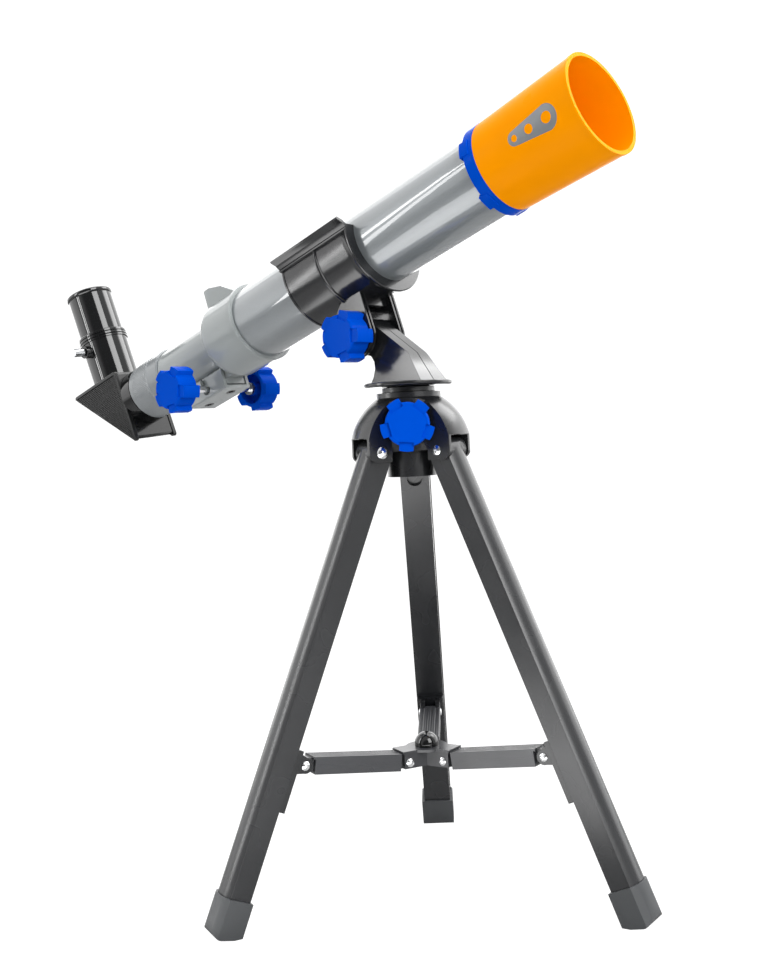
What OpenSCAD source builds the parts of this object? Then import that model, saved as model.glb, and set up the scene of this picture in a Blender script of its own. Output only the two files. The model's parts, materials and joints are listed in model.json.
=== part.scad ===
// Children's refractor telescope on an alt-azimuth table tripod.
// Millimetres. Origin on the tripod's axis at floor level, +Z up; the tube points along +X.
// The tube's own stations run along its axis, with station 0 over the altitude pivot.

/* [Tripod legs] */
// Angle between each leg and the vertical
leg_splay = 22.9; // [20:0.1:26]
// Height of the leg pivots above the floor
leg_pivot_z = 270.7; // [240:0.1:300]
// Distance of the leg pivots from the tripod's axis
leg_pivot_r = 25.5; // [25:0.1:27]
// Width of a leg across its flat sides
leg_w = 19.2; // [18:0.1:20]
// Depth of a leg from inner face to rounded back
leg_d = 16.3; // [15:0.1:17]
// Azimuth of the first leg, measured from the tube's heading
first_leg_azimuth = 8.3; // [0:0.1:20]
// Length of the rubber foot along the leg's inner face
foot_h = 19.6; // [16:0.1:26]
// Thickness of the rubber round the leg's end
foot_wall = 1.3; // [1:0.1:2]
// Thickness of the rubber under the leg's end
foot_sole = 3.5; // [2.5:0.1:5]
// Radius of the rubber foot's rounded heel
heel_r = 5; // [3:0.1:6]
// Angle at which the sole rises towards the heel
heel_rise = 12; // [4:0.5:16]

/* [Spreader] */
// Distance of the spreader's outer pivots from the middle of the leg
brace_inward = 16.5; // [16:0.1:18]
// Height of the spreader's outer pivots above the floor
brace_pivot_z = 90.8; // [86:0.1:94]
// Distance of the hub's pivots from the axis
hub_pivot_r = 15; // [14.5:0.1:16]
// Height of the outer pivots above the hub's pivots
hub_drop = 9; // [8.4:0.1:9.6]
// Width of a spreader arm
arm_w = 13.5; // [12:0.1:14]
// Height of a spreader arm
arm_h = 10.5; // [9:0.1:11]
// Wall of a spreader arm
arm_wall = 1.6; // [1.2:0.1:2]
// Thickness of the tongues at the arm's ends
tongue_w = 7; // [6:0.1:8]
// Thickness of the clevis cheeks on hub and brackets
cheek_t = 3; // [2.5:0.1:3.4]
// Width of a bracket's block on the leg
bracket_w = 17.2; // [15:0.1:18]
// Thickness of a bracket's block on the leg
bracket_t = 3.6; // [2:0.1:4]
// Length of a bracket's block below its pivot
bracket_l = 29; // [20:0.5:32]
// Radius of the ball that lifts the hub
ball_r = 7.4; // [6:0.1:8]

/* [Tripod head] */
// Radius of the head's top flange
head_top_r = 19.6; // [19:0.1:20.5]
// Radius of the head's dome at its lower edge
dome_r = 36.4; // [35:0.1:38]
// Height of the dome's lower edge above the leg pivots
dome_rise = 8.9; // [8.4:0.1:10]
// Height of the head's top face above the leg pivots
head_rise = 35.5; // [34:0.1:37]
// Thickness of the cheeks that hold a leg
socket_wall = 2.5; // [2:0.1:3]
// Radius of the column under the head
column_r = 15.2; // [14:0.1:16]
// Drop of the column's lower end below the leg pivots
column_drop = 15.3; // [14:0.1:20]
// Radius of the azimuth spindle
spindle_r = 9; // [8:0.1:10]

/* [Mount] */
// Radius of the azimuth disc
disc_r = 27.2; // [25:0.1:30]
// Thickness of the azimuth disc
disc_t = 2.8; // [2.4:0.1:3.2]
// Distance of the altitude pivot behind the tripod's axis
pivot_back = 28; // [25:0.1:30]
// Height of the altitude pivot above the azimuth disc
pivot_rise = 29.6; // [28:0.1:34]
// Radius of the arm's round head
arm_head_r = 11.4; // [10:0.1:11.6]
// Width of the arm's round head between the cradle's plates
arm_head_w = 22; // [20:0.1:24]
// Width of the arm's blade
blade_w = 17.2; // [15:0.1:18]
// Width of the arm's foot on the disc
blade_foot_w = 24.4; // [22:0.1:27]
// Radius of the altitude bolt
bolt_r = 3; // [2.5:0.1:3.5]

/* [Tube] */
// Elevation of the tube above the horizontal
altitude = 18.1; // [0:0.1:40]
// Outer diameter of the main tube
tube_od = 50; // [48:0.2:51]
// Wall of the main tube
tube_wall = 1.2; // [1:0.1:1.6]
// Distance of the tube's axis from the altitude pivot
axis_offset = 49.4; // [49:0.1:52]
// Station of the tube's front end
tube_front = 126; // [110:1:140]
// Station of the tube's rear end
tube_rear = -104; // [-115:1:-100]
// Length of the cradle
cradle_l = 62; // [50:1:70]
// Wall of the cradle
cradle_wall = 4.8; // [4:0.1:5]
// Reach of each lip outside the cradle
lip_w = 7.4; // [5:0.1:8]
// Height of each lip
lip_h = 4; // [3:0.1:5]
// Thickness of the cradle's pivot plates
plate_t = 4.2; // [3:0.1:5]

/* [Objective and hood] */
// Length of the blue front ring
ring_l = 7; // [6:0.1:9]
// Length of the tapered hood
hood_l = 69; // [50:1:80]
// Outer radius of the hood at its mouth
hood_mouth_r = 30; // [28.5:0.1:32]
// Outer radius of the hood where it meets the ring
hood_root_r = 27.2; // [26.8:0.1:27.4]
// Wall of the hood
hood_wall = 2.3; // [1.8:0.1:2.6]
// Depth of the inlay in the hood's wall
inlay_t = 0.9; // [0.6:0.1:1.2]
// Radius of the objective lenses
lens_r = 20.5; // [18:0.1:21]
// Radius of curvature of the front lens
lens_curve = 240; // [200:5:300]

/* [Focuser] */
// Outer radius of the housing over the tube
housing_r = 27; // [26.6:0.1:28]
// Outer radius of the housing's neck
neck_r = 18.8; // [18.6:0.1:20]
// Station of the housing's front rim
housing_front = -88.4; // [-92:0.1:-84]
// Station of the neck's rear end
neck_end = -183; // [-190:0.5:-182]
// Outer radius of the drawtube
draw_r = 17.2; // [17:0.1:17.4]
// Outer radius of the drawtube's end ring
end_ring_r = 20.3; // [19.5:0.1:22]
// Length of the drawtube's end ring
end_ring_l = 34.5; // [30:0.5:40]
// Travel of the drawtube
focus_travel = 50; // [30:1:50]
// Module of the rack and the pinion
tooth_m = 0.75; // [0.7:0.05:0.8]
// Teeth on the pinion
pinion_teeth = 12; // [11:1:12]
// Station of the focus shaft
shaft_x = -147.2; // [-150:0.1:-144]
// Depth of the focus shaft below the tube's axis
shaft_drop = 25.8; // [25.6:0.1:26.4]
// Radius of the focus shaft
shaft_r = 2.5; // [2:0.1:2.8]
// Half width of the gear box over its cover
cover_half = 11.4; // [11:0.1:13]
// Depth of the gear box's floor below the tube's axis
cover_drop = 32.3; // [32.2:0.1:34]
// Station of the gear box's front end
cover_front = -128.1; // [-131:0.1:-128]
// Station of the gear box's rear end
cover_rear = -168; // [-172:0.5:-165]
// Wall of the gear box's cover
cover_wall = 2.4; // [2.2:0.1:2.8]

/* [Knobs] */
// Radius of a knob's round body
knob_r = 13.1; // [12:0.1:14]
// Radius over a knob's lobes
lobe_r = 15.9; // [15:0.1:17]
// Width of a lobe
lobe_w = 8.2; // [6:0.1:9]
// Depth of a knob
knob_h = 15; // [12:0.5:16]
// Depth of the recess in a knob's back
knob_recess = 8.5; // [2:0.5:9]
// Distance of the focus knobs from the tube's axis
knob_gap = 30.2; // [28:0.1:33]

/* [Diagonal and eyepiece] */
// Turn of the diagonal round the tube's axis
diagonal_roll = 4; // [-45:1:45]
// Side of the diagonal's triangular covers
prism_side = 57; // [54:1:60]
// Half width of the diagonal over its covers
prism_half_w = 19.5; // [19:0.1:22]
// Radius of the standard barrels (31.7 mm)
barrel_r = 15.85; // [15.5:0.05:15.9]
// Outer radius of the eyepiece holder
holder_r = 17.3; // [17:0.1:18]
// Length of the eyepiece holder above the diagonal
holder_l = 39.5; // [30:0.5:45]
// Height of the eyepiece above its holder
eyepiece_h = 33.5; // [25:0.5:40]

/* [Fits] */
// Radial clearance of a running fit
fit = 0.05; // [0.02:0.01:0.1]
// Gap between faces that move past each other
gap = 0.3; // [0.2:0.05:0.4]

/* [Hidden] */
$fn = 64;
cut = 0.5;
leg_azimuths = [for (k = [0:2]) first_leg_azimuth + 120 * k];
knob_azimuth = first_leg_azimuth - 60;
dome_z = leg_pivot_z + dome_rise;
head_top_z = leg_pivot_z + head_rise;
column_z = leg_pivot_z - column_drop;
leg_top_r = leg_d / 2;
leg_back_sag = 3.5;
leg_back_r = (pow(leg_w / 2, 2) + pow(leg_back_sag, 2)) / (2 * leg_back_sag);
leg_split_z = leg_d / 2 - leg_back_sag - 0.8;
leg_step = 0.5;
leg_bolt_r = 2.4;
socket_half = leg_w / 2 + gap;
cheek_half = socket_half + socket_wall;
panel_d = 20.4;
panel_z = leg_pivot_z + 0.3;
cheek_z = leg_pivot_z - 5.7;
clamp_z = leg_pivot_z + 16;
collar_r = 16.2;
collar_t = 3;
collar_z = head_top_z + gap;
disc_z = collar_z + collar_t + 0.4;
pivot_x = -pivot_back;
pivot_z = disc_z + disc_t + pivot_rise;
tube_r = tube_od / 2;
cradle_r = tube_r + cradle_wall;
plate_inner = arm_head_w / 2 + gap;
plate_outer = plate_inner + plate_t;
plate_r = 13.2;
ring_x = tube_front + 4 - ring_l;
hood_x = ring_x + ring_l;
bore_r = barrel_r + fit;
draw_front = shaft_x + focus_travel + 6;
pinion_r = tooth_m * pinion_teeth / 2;
rack_pitch_z = -shaft_drop + pinion_r;
tooth_pitch = PI * tooth_m;
end_ring_x = neck_end - gap;
ring_end = end_ring_x - end_ring_l;
prism_x = ring_end - 10.2;
prism_top = 22;
eye_x = prism_x - 24.1;
holder_top = prism_top + holder_l - 2;

// Places children in the tube's frame: X along the axis, Z away from the pivot.
module at_tube() {
    translate([pivot_x, 0, pivot_z])
        rotate([0, -altitude, 0])
            translate([0, 0, axis_offset])
                children();
}

// Turns a shape built along +Z so that it runs along +X from station x.
module along_tube(x) {
    translate([x, 0, 0]) rotate([0, 90, 0]) children();
}

// Places children in the frame of a leg: X down the leg from its pivot, Z to its back.
module at_leg(k) {
    rotate([0, 0, leg_azimuths[k]])
        translate([leg_pivot_r, 0, leg_pivot_z])
            rotate([0, 90 - leg_splay, 0])
                children();
}

// A closed ring about Z.
module ring(outer, inner, h) {
    difference() {
        cylinder(r = outer, h = h);
        translate([0, 0, -cut]) cylinder(r = inner, h = h + 2 * cut);
    }
}

function arc(c, r, a0, a1, n) = [for (i = [0:n]) let (a = a0 + (a1 - a0) * i / n)
    [c[0] + r * cos(a), c[1] + r * sin(a)]];

// ---------------------------------------------------------------- tripod head
dome_arc_r = 40;
dome_chord = [dome_r - head_top_r, dome_z - (head_top_z - 3)];
dome_chord_l = norm(dome_chord);
dome_mid = [(dome_r + head_top_r) / 2, (dome_z + head_top_z - 3) / 2];
dome_in = sqrt(pow(dome_arc_r, 2) - pow(dome_chord_l / 2, 2));
dome_c = dome_mid + [dome_chord[1], -dome_chord[0]] * dome_in / dome_chord_l;
dome_a0 = atan2(dome_z - dome_c[1], dome_r - dome_c[0]);
dome_a1 = atan2(head_top_z - 3 - dome_c[1], head_top_r - dome_c[0]);

module dome(inset) {
    rotate_extrude($fn = 96)
        polygon(concat(
            [[0, cheek_z - cut], [dome_r - inset, cheek_z - cut]],
            arc(dome_c, dome_arc_r - inset, dome_a0, dome_a1, 12),
            [[head_top_r - inset, head_top_z - inset], [0, head_top_z - inset]]));
}

// One leg socket's outline seen from its side, with a rounded outer corner.
module cheek_plate() {
    corner = 5;
    rotate([90, 0, 0])
        linear_extrude(height = 2 * cheek_half, center = true)
            polygon(concat(
                [[0, head_top_z], [0, panel_z], [19.4, panel_z], [19.4, cheek_z]],
                arc([dome_r - 2 - corner, cheek_z + corner], corner, -90, 0, 6),
                [[dome_r - 2, dome_z], [dome_r + 1, dome_z], [dome_r + 1, head_top_z]]));
}

screw_well_r = column_r - 2.4;
screw_well_h = 9;

module tripod_head() {
    core_side = 2 * panel_d;
    color("#3a3b3d") {
        difference() {
            union() {
                intersection() {
                    dome(0);
                    union() {
                        for (a = leg_azimuths) rotate([0, 0, a]) cheek_plate();
                        translate([0, 0, panel_z])
                            linear_extrude(height = head_top_z - panel_z)
                                rotate(first_leg_azimuth)
                                    circle(r = core_side, $fn = 3);
                    }
                }
                translate([0, 0, head_top_z - 3]) cylinder(r = head_top_r, h = 3);
                translate([0, 0, column_z]) cylinder(r = column_r, h = 20);
            }
            for (a = leg_azimuths) rotate([0, 0, a]) leg_socket();
            translate([0, 0, column_z - cut])
                cylinder(r = spindle_r + fit, h = head_top_z - column_z + 2 * cut);
            translate([0, 0, column_z - cut])
                cylinder(r = screw_well_r, h = screw_well_h + cut);
            rotate([0, 0, knob_azimuth])
                translate([0, 0, clamp_z])
                    rotate([0, 90, 0])
                        cylinder(r = bolt_r + fit, h = dome_r);
        }
    }
}

// The slot that a leg's upper end turns in, open below and to the outside.
module leg_socket() {
    inner_r = leg_pivot_r - leg_top_r - gap;
    roof_z = dome_z - 0.4;
    translate([inner_r, -socket_half, cheek_z - 1])
        cube([dome_r, 2 * socket_half, roof_z - cheek_z + 1]);
    translate([leg_pivot_r, 0, leg_pivot_z])
        rotate([90, 0, 0])
            cylinder(r = leg_bolt_r + fit, h = 3 * cheek_half, center = true);
}

// ---------------------------------------------------------------- legs
leg_face = -leg_d / 2;
foot_face = leg_face - foot_wall;
foot_x = (leg_pivot_z + foot_face * sin(leg_splay)) / cos(leg_splay);
leg_end = foot_x - foot_sole;

// The leg's bar: a flat channel under a wider, rounded back.
module leg_section() {
    intersection() {
        union() {
            translate([0, -leg_w / 2, leg_split_z]) cube([leg_end, leg_w, leg_d]);
            translate([0, leg_step - leg_w / 2, leg_face])
                cube([leg_end, leg_w - 2 * leg_step, leg_split_z - leg_face + cut]);
        }
        translate([0, 0, leg_d / 2 - leg_back_r])
            rotate([0, 90, 0])
                cylinder(r = leg_back_r, h = leg_end, $fn = 96);
    }
}

module leg(k) {
    color("#3f4143")
        at_leg(k)
            difference() {
                union() {
                    leg_section();
                    rotate([90, 0, 0])
                        cylinder(r = leg_top_r, h = leg_w - 2 * leg_step, center = true);
                    leg_eyelet(eyelet_r, -eyelet_rim);
                }
                rotate([90, 0, 0])
                    cylinder(r = leg_bolt_r + fit, h = leg_w + 2 * cut, center = true);
                leg_eyelet(eyelet_r - eyelet_wall, -1);
            }
}

eyelet_x = 16.4;
eyelet_r = 5.4;
eyelet_wall = 0.7;
eyelet_rim = 0.5;

// A round eyelet in the leg's inner face, just below the pivot.
module leg_eyelet(r, proud) {
    translate([eyelet_x, 0, leg_face + proud]) cylinder(r = r, h = 3);
}

// Side outline of the rubber foot, with a flat to stand on and a rising, rounded heel.
function foot_outline() = let (
    back = leg_d / 2 + foot_wall,
    flat = 5,
    belly_r = 30,
    bend = 14,
    sole_a = leg_splay - heel_rise,
    toe = [foot_x, foot_face],
    lift = toe + flat * [sin(leg_splay), cos(leg_splay)],
    heel_z = back - belly_r + (belly_r - heel_r) * cos(bend),
    heel_x = lift[0] + ((heel_z - lift[1]) * sin(sole_a) - heel_r) / cos(sole_a),
    belly = [heel_x - (belly_r - heel_r) * sin(bend), back - belly_r])
    concat(
        [lift, toe, [foot_x - foot_h, foot_face], [foot_x - foot_h, back]],
        arc(belly, belly_r, 90, 90 - bend, 4),
        arc([heel_x, heel_z], heel_r, 90 - bend, -sole_a, 6));

module foot(k) {
    color("#2f3032")
        at_leg(k)
            difference() {
                intersection() {
                    rotate([90, 0, 0])
                        linear_extrude(height = leg_w + 2 * foot_wall, center = true)
                            polygon(foot_outline());
                    translate([0, 0, leg_d / 2 - leg_back_r])
                        rotate([0, 90, 0])
                            cylinder(r = leg_back_r + foot_wall, h = 2 * foot_x, $fn = 96);
                }
                leg_section();
            }
}

// The brace pivot's place along the leg, and its distance from the tripod's axis.
brace_along = (leg_pivot_z - brace_pivot_z - brace_inward * sin(leg_splay)) / cos(leg_splay);
brace_pivot_r = leg_pivot_r + brace_along * sin(leg_splay) - brace_inward * cos(leg_splay);
hub_pivot_z = brace_pivot_z - hub_drop;
brace_end_r = 4.6;
pin_r = 1.6;

module bracket(k) {
    shoulder = brace_end_r + 3.4;
    color("#3a3b3d")
        at_leg(k)
            difference() {
                union() {
                    translate([brace_along - shoulder, -bracket_w / 2, leg_face - bracket_t])
                        cube([shoulder + bracket_l, bracket_w, bracket_t]);
                    for (flip = [0, 1])
                        mirror([0, flip, 0])
                            translate([brace_along, tongue_w / 2 + gap / 2, -brace_inward])
                                rotate([-90, 0, 0])
                                    linear_extrude(height = cheek_t)
                                        ear_outline(brace_inward + leg_face);
                }
                translate([brace_along, 0, -brace_inward])
                    rotate([90, 0, 0])
                        cylinder(r = pin_r + fit, h = 3 * arm_w, center = true);
            }
}

// Ear: a round end at the pivot that widens towards the plate on the leg.
module ear_outline(reach) {
    tip = brace_end_r;
    flare = 2.5;
    polygon(concat(
        arc([0, 0], tip, 0, 180, 10),
        [[-tip - flare, -reach], [tip + flare, -reach]]));
}

// A pin with a domed head at one end and a flat screw head at the other.
module cross_bolt(shank_r, half, dome_head_r, flat_head_r, head_h) {
    rotate([90, 0, 0]) {
        cylinder(r = shank_r, h = 2 * half, center = true);
        translate([0, 0, half]) screw_head(flat_head_r, head_h);
        mirror([0, 0, 1])
            translate([0, 0, half])
                intersection() {
                    cylinder(r = dome_head_r, h = 1.4 * head_h);
                    translate([0, 0, 1.4 * head_h - 1.25 * dome_head_r])
                        sphere(r = 1.25 * dome_head_r);
                }
    }
}

// A pan head with a cross recess, lying on Z = 0.
module screw_head(r, h) {
    slot = 0.32 * r;
    difference() {
        cylinder(r = r, h = h);
        for (a = [0, 90])
            rotate([0, 0, a])
                translate([-0.62 * r, -slot / 2, 0.45 * h])
                    cube([1.24 * r, slot, h]);
    }
}

module leg_bolts() {
    color("#d4d6d8")
        for (k = [0:2])
            at_leg(k) cross_bolt(leg_bolt_r, cheek_half, 3.7, 2.9, 1.4);
}

clevis_half = tongue_w / 2 + gap / 2 + cheek_t;
pin_dome_r = 2.8;
pin_head_r = 2.5;
pin_head_h = 1.1;

module bracket_bolts() {
    color("#d4d6d8")
        for (k = [0:2])
            at_leg(k)
                translate([brace_along, 0, -brace_inward])
                    cross_bolt(pin_r, clevis_half, pin_dome_r, pin_head_r, pin_head_h);
}

// ---------------------------------------------------------------- spreader
arm_span = norm([brace_pivot_r - hub_pivot_r, brace_pivot_z - hub_pivot_z]);
arm_tilt = atan2(brace_pivot_z - hub_pivot_z, brace_pivot_r - hub_pivot_r);
tongue_r = 4.2;
hub_cheek_r = 5;
hub_rise = 7.2;
hub_top_z = hub_pivot_z + hub_rise;
hub_plate_t = 1.6;
ball_pin_r = 2;
arm_inset = 6.2;

// Places children at the hub pivot of arm k, with X along the arm.
module at_arm(k) {
    rotate([0, 0, leg_azimuths[k]])
        translate([hub_pivot_r, 0, hub_pivot_z])
            rotate([0, -arm_tilt, 0])
                children();
}

// How far an arm's ribbed top stands out over its outer tongue.
arm_eave = 1.4;

module spreader_arm(k) {
    ribs = 5;
    rib_h = 0.6;
    rib_w = arm_w / (2 * ribs - 1);
    body_l = arm_span - 2 * arm_inset;
    color("#4a4c4f")
        at_arm(k)
            difference() {
                union() {
                    translate([arm_inset, -arm_w / 2, -arm_h / 2])
                        cube([body_l, arm_w, arm_h - rib_h]);
                    for (i = [0:ribs - 1])
                        translate([arm_inset, -arm_w / 2 + 2 * i * rib_w, arm_h / 2 - rib_h - cut])
                            cube([body_l + arm_eave, rib_w, rib_h + cut]);
                    translate([arm_inset, -arm_w / 2, arm_h / 2 - arm_wall])
                        cube([body_l + arm_eave, arm_w, arm_wall - rib_h]);
                    translate([0, -tongue_w / 2, -tongue_r])
                        cube([arm_span, tongue_w, 2 * tongue_r]);
                    for (x = [0, arm_span])
                        translate([x, 0, 0])
                            rotate([90, 0, 0])
                                cylinder(r = tongue_r, h = tongue_w, center = true);
                }
                translate([arm_inset + 3, arm_wall - arm_w / 2, -arm_h / 2 - cut])
                    cube([body_l - 6, arm_w - 2 * arm_wall, arm_h - rib_h - arm_wall + cut]);
                rotate([90, 0, 0])
                    cylinder(r = pin_r + fit, h = arm_w + 2 * cut, center = true);
                outer_slot();
            }
}

// The outer eye is a short slot, so that the arm can pass over centre without bending a leg.
module outer_slot() {
    over_centre = arm_span * (1 - cos(arm_tilt)) + gap;
    for (x = [0, -over_centre])
        translate([arm_span + x, 0, 0])
            rotate([90, 0, 0])
                cylinder(r = pin_r + fit, h = arm_w + 2 * cut, center = true);
    translate([arm_span - over_centre, -arm_w / 2 - cut, -pin_r - fit])
        cube([over_centre, arm_w + 2 * cut, 2 * (pin_r + fit)]);
}

module spreader_hub() {
    inner = tongue_w / 2 + gap / 2;
    base_z = hub_pivot_z - 3.6;
    web_h = hub_top_z - base_z;
    reach = hub_pivot_r + hub_cheek_r;
    color("#3a3b3d")
        difference() {
            union() {
                for (a = leg_azimuths)
                    rotate([0, 0, a]) {
                        translate([0, -clevis_half, base_z])
                            cube([reach - 1, 2 * clevis_half, web_h - cut]);
                        translate([0, -clevis_half - 0.8, hub_top_z - hub_plate_t])
                            cube([reach, 2 * (clevis_half + 0.8), hub_plate_t]);
                    }
                translate([0, 0, hub_top_z - hub_plate_t]) cylinder(r = 13, h = hub_plate_t);
            }
            for (a = leg_azimuths)
                rotate([0, 0, a]) {
                    translate([hub_pivot_r - tongue_r - 1, -inner, base_z - cut])
                        cube([2 * tongue_r + reach, 2 * inner, web_h - hub_plate_t + cut]);
                    translate([hub_pivot_r, 0, hub_pivot_z])
                        rotate([90, 0, 0])
                            cylinder(r = pin_r + fit, h = 4 * clevis_half, center = true);
                }
            translate([0, 0, base_z - cut]) cylinder(r = ball_pin_r, h = web_h + 2 * cut);
        }
}

module hub_bolts() {
    color("#d4d6d8")
        for (k = [0:2])
            rotate([0, 0, leg_azimuths[k]])
                translate([hub_pivot_r, 0, hub_pivot_z])
                    cross_bolt(pin_r, clevis_half, pin_dome_r, pin_head_r, pin_head_h);
}

module lift_ball() {
    sunk = 0.85 * ball_r;
    pin_h = 9;
    color("#202124") {
        translate([0, 0, hub_top_z + ball_r - sunk])
            intersection() {
                sphere(r = ball_r);
                translate([0, 0, sunk - ball_r]) cylinder(r = ball_r, h = 2 * ball_r);
            }
        translate([0, 0, hub_top_z - pin_h]) cylinder(r = ball_pin_r - fit, h = pin_h + cut);
    }
}

// ---------------------------------------------------------------- azimuth mount
spindle_end = column_z + screw_well_h - gap;
spindle_neck_r = 13;
spindle_screw_r = 1.5;

module azimuth_disc() {
    edge = 0.6;
    color("#37383a")
        translate([0, 0, disc_z])
            rotate_extrude($fn = 96)
                polygon([[bolt_r, 0], [disc_r - 2 * edge, 0], [disc_r, 1.5 * edge],
                         [disc_r, disc_t - edge], [disc_r - edge, disc_t], [bolt_r, disc_t]]);
}

module azimuth_spindle() {
    color("#2f3032")
        rotate_extrude()
            polygon([[spindle_screw_r, spindle_end], [spindle_r, spindle_end],
                     [spindle_r, collar_z], [collar_r, collar_z],
                     [collar_r, collar_z + collar_t], [spindle_neck_r, collar_z + collar_t],
                     [spindle_neck_r, disc_z], [spindle_screw_r, disc_z]]);
}

module spindle_screw() {
    washer_t = 1.2;
    head_h = 2.8;
    grip = 2;
    color("#b9bbbd")
        translate([0, 0, spindle_end]) {
            mirror([0, 0, 1]) cylinder(r = spindle_r / 2, h = head_h);
            mirror([0, 0, 1]) cylinder(r = screw_well_r - 0.6, h = washer_t);
            cylinder(r = spindle_screw_r - fit, h = disc_z + grip - spindle_end);
        }
}

arm_foot_z = disc_z + disc_t;
arm_knee = [8.7, arm_foot_z + 17.4];
arm_toe = [20.8, arm_foot_z];
arm_heel = [-19.5, arm_foot_z];
arm_nape_a = 55;

// Side outline of the arm, in the plane of the tube.
function arm_outline() = concat(
    arc([pivot_x, pivot_z], arm_head_r, arm_nape_a, 270 + asin(0.2), 28),
    [[pivot_x + 6.6, pivot_z - arm_head_r - 0.9], arm_heel + [1.2, 13.6],
     arm_heel + [2.4, 9], arm_heel + [1.7, 4], arm_heel, arm_toe, arm_knee]);

// Front outline of the arm: a straight blade on a foot that widens to the disc.
function blade_outline() = let (
    top = pivot_z + arm_head_r + 1,
    foot = blade_foot_w / 2,
    blade = blade_w / 2)
    [[-foot, arm_foot_z], [foot, arm_foot_z], [blade, arm_knee[1]], [blade, top],
     [-blade, top], [-blade, arm_knee[1]]];

module mount_arm() {
    color("#37383a")
        difference() {
            union() {
                intersection() {
                    rotate([90, 0, 0])
                        linear_extrude(height = blade_foot_w, center = true)
                            polygon(arm_outline());
                    rotate([90, 0, 90])
                        linear_extrude(height = 4 * pivot_back, center = true)
                            polygon(blade_outline());
                }
                translate([pivot_x, 0, pivot_z])
                    rotate([90, 0, 0])
                        cylinder(r = arm_head_r - 1.2, h = arm_head_w, center = true);
            }
            translate([pivot_x, 0, pivot_z])
                rotate([90, 0, 0])
                    cylinder(r = bolt_r + fit, h = 2 * arm_head_w, center = true);
            mould_seam();
        }
}

// The fine groove that the mould's joint leaves along the arm's ridge.
module mould_seam() {
    seam_w = 0.5;
    seam_d = 0.4;
    nape = [pivot_x, pivot_z] + arm_head_r * [cos(arm_nape_a), sin(arm_nape_a)];
    out = [0.73, 0.68];
    rotate([90, 0, 0])
        linear_extrude(height = seam_w, center = true)
            polygon(concat(
                [for (p = [nape, arm_knee, arm_toe]) p + cut * out],
                [for (p = [arm_toe, arm_knee, nape]) p - seam_d * out]));
}

// ---------------------------------------------------------------- knobs
// A moulded knob on Z = 0 with a round face and five lobes that lie a step below it.
module knob(hole_r, hole_h, turn) {
    face_step = 1.3;
    notch_r = 10.3;
    rim_r = 1;
    hub_r = 4.8;
    back_wall = 2.2;
    color("#1549c8")
        rotate([0, 0, turn])
            difference() {
                union() {
                    rotate_extrude()
                        polygon(concat(
                            [[0, 0], [knob_r - rim_r / 2, 0], [knob_r, rim_r / 2]],
                            arc([knob_r - rim_r, knob_h - rim_r], rim_r, 0, 90, 5),
                            [[0, knob_h]]));
                    intersection() {
                        for (a = [0:72:288])
                            rotate([0, 0, a])
                                translate([notch_r, -lobe_w / 2, 0])
                                    cube([lobe_r - notch_r, lobe_w, knob_h - face_step]);
                        cylinder(r = lobe_r, h = knob_h);
                    }
                }
                for (a = [0:72:288])
                    rotate([0, 0, a])
                        translate([notch_r, -lobe_w / 2, knob_h - face_step])
                            cube([lobe_r, lobe_w, face_step + cut]);
                translate([0, 0, -cut]) cylinder(r = hole_r, h = hole_h + cut);
                translate([0, 0, -cut]) ring(knob_r - back_wall, hub_r, knob_recess + cut);
            }
}

// Distance of the azimuth knob's back from the tripod's axis.
azimuth_knob_x = panel_d + 4;

module azimuth_knob() {
    rotate([0, 0, knob_azimuth])
        translate([azimuth_knob_x, 0, clamp_z])
            rotate([0, 90, 0])
                knob(bolt_r, knob_h - 4, 67);
}

module azimuth_screw() {
    color("#b9bbbd")
        rotate([0, 0, knob_azimuth])
            translate([spindle_r + gap, 0, clamp_z])
                rotate([0, 90, 0])
                    cylinder(r = bolt_r, h = azimuth_knob_x + knob_h - 4 - spindle_r - gap);
}

module altitude_bolt() {
    head_r = 5.2;
    head_h = 3;
    color("#b9bbbd")
        translate([pivot_x, plate_outer, pivot_z])
            rotate([90, 0, 0]) {
                cylinder(r = bolt_r, h = 2 * plate_outer + knob_h - 3);
                mirror([0, 0, 1]) cylinder(r = head_r, h = head_h);
            }
}

module altitude_knob() {
    translate([pivot_x, -plate_outer - gap, pivot_z])
        rotate([90, 0, 0])
            knob(bolt_r + fit, knob_h - 2, 70);
}

// ---------------------------------------------------------------- tube and cradle
module main_tube() {
    color("#8f9396")
        at_tube() along_tube(tube_rear) ring(tube_r, tube_r - tube_wall, tube_front - tube_rear);
}

lip_z = 10.3;
shell_end = cradle_l / 2;

// Half section of the cradle's shell: a bead behind, a rib in the middle, a flare in front.
module cradle_shell() {
    bead_w = 1.6;
    bead_h = 0.5;
    rib_r = 1.25;
    flare_l = 7;
    flare_r = 10;
    flare_a = 147;
    lip = flare_r * (1 + cos(flare_a)) + 0.5;
    rotate_extrude($fn = 96)
        polygon(concat(
            [[0, -shell_end], [cradle_r, -shell_end],
             [cradle_r + bead_h, bead_h - shell_end], [cradle_r + bead_h, bead_w - shell_end],
             [cradle_r, bead_w + bead_h - shell_end]],
            arc([cradle_r, 0], rib_r, -90, 90, 8),
            arc([cradle_r + flare_r, shell_end - flare_l], flare_r, 180, flare_a, 8),
            [[cradle_r + lip, shell_end - 1.2], [cradle_r + lip, shell_end - bead_h],
             [cradle_r + lip - bead_h, shell_end], [0, shell_end]]));
}

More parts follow.
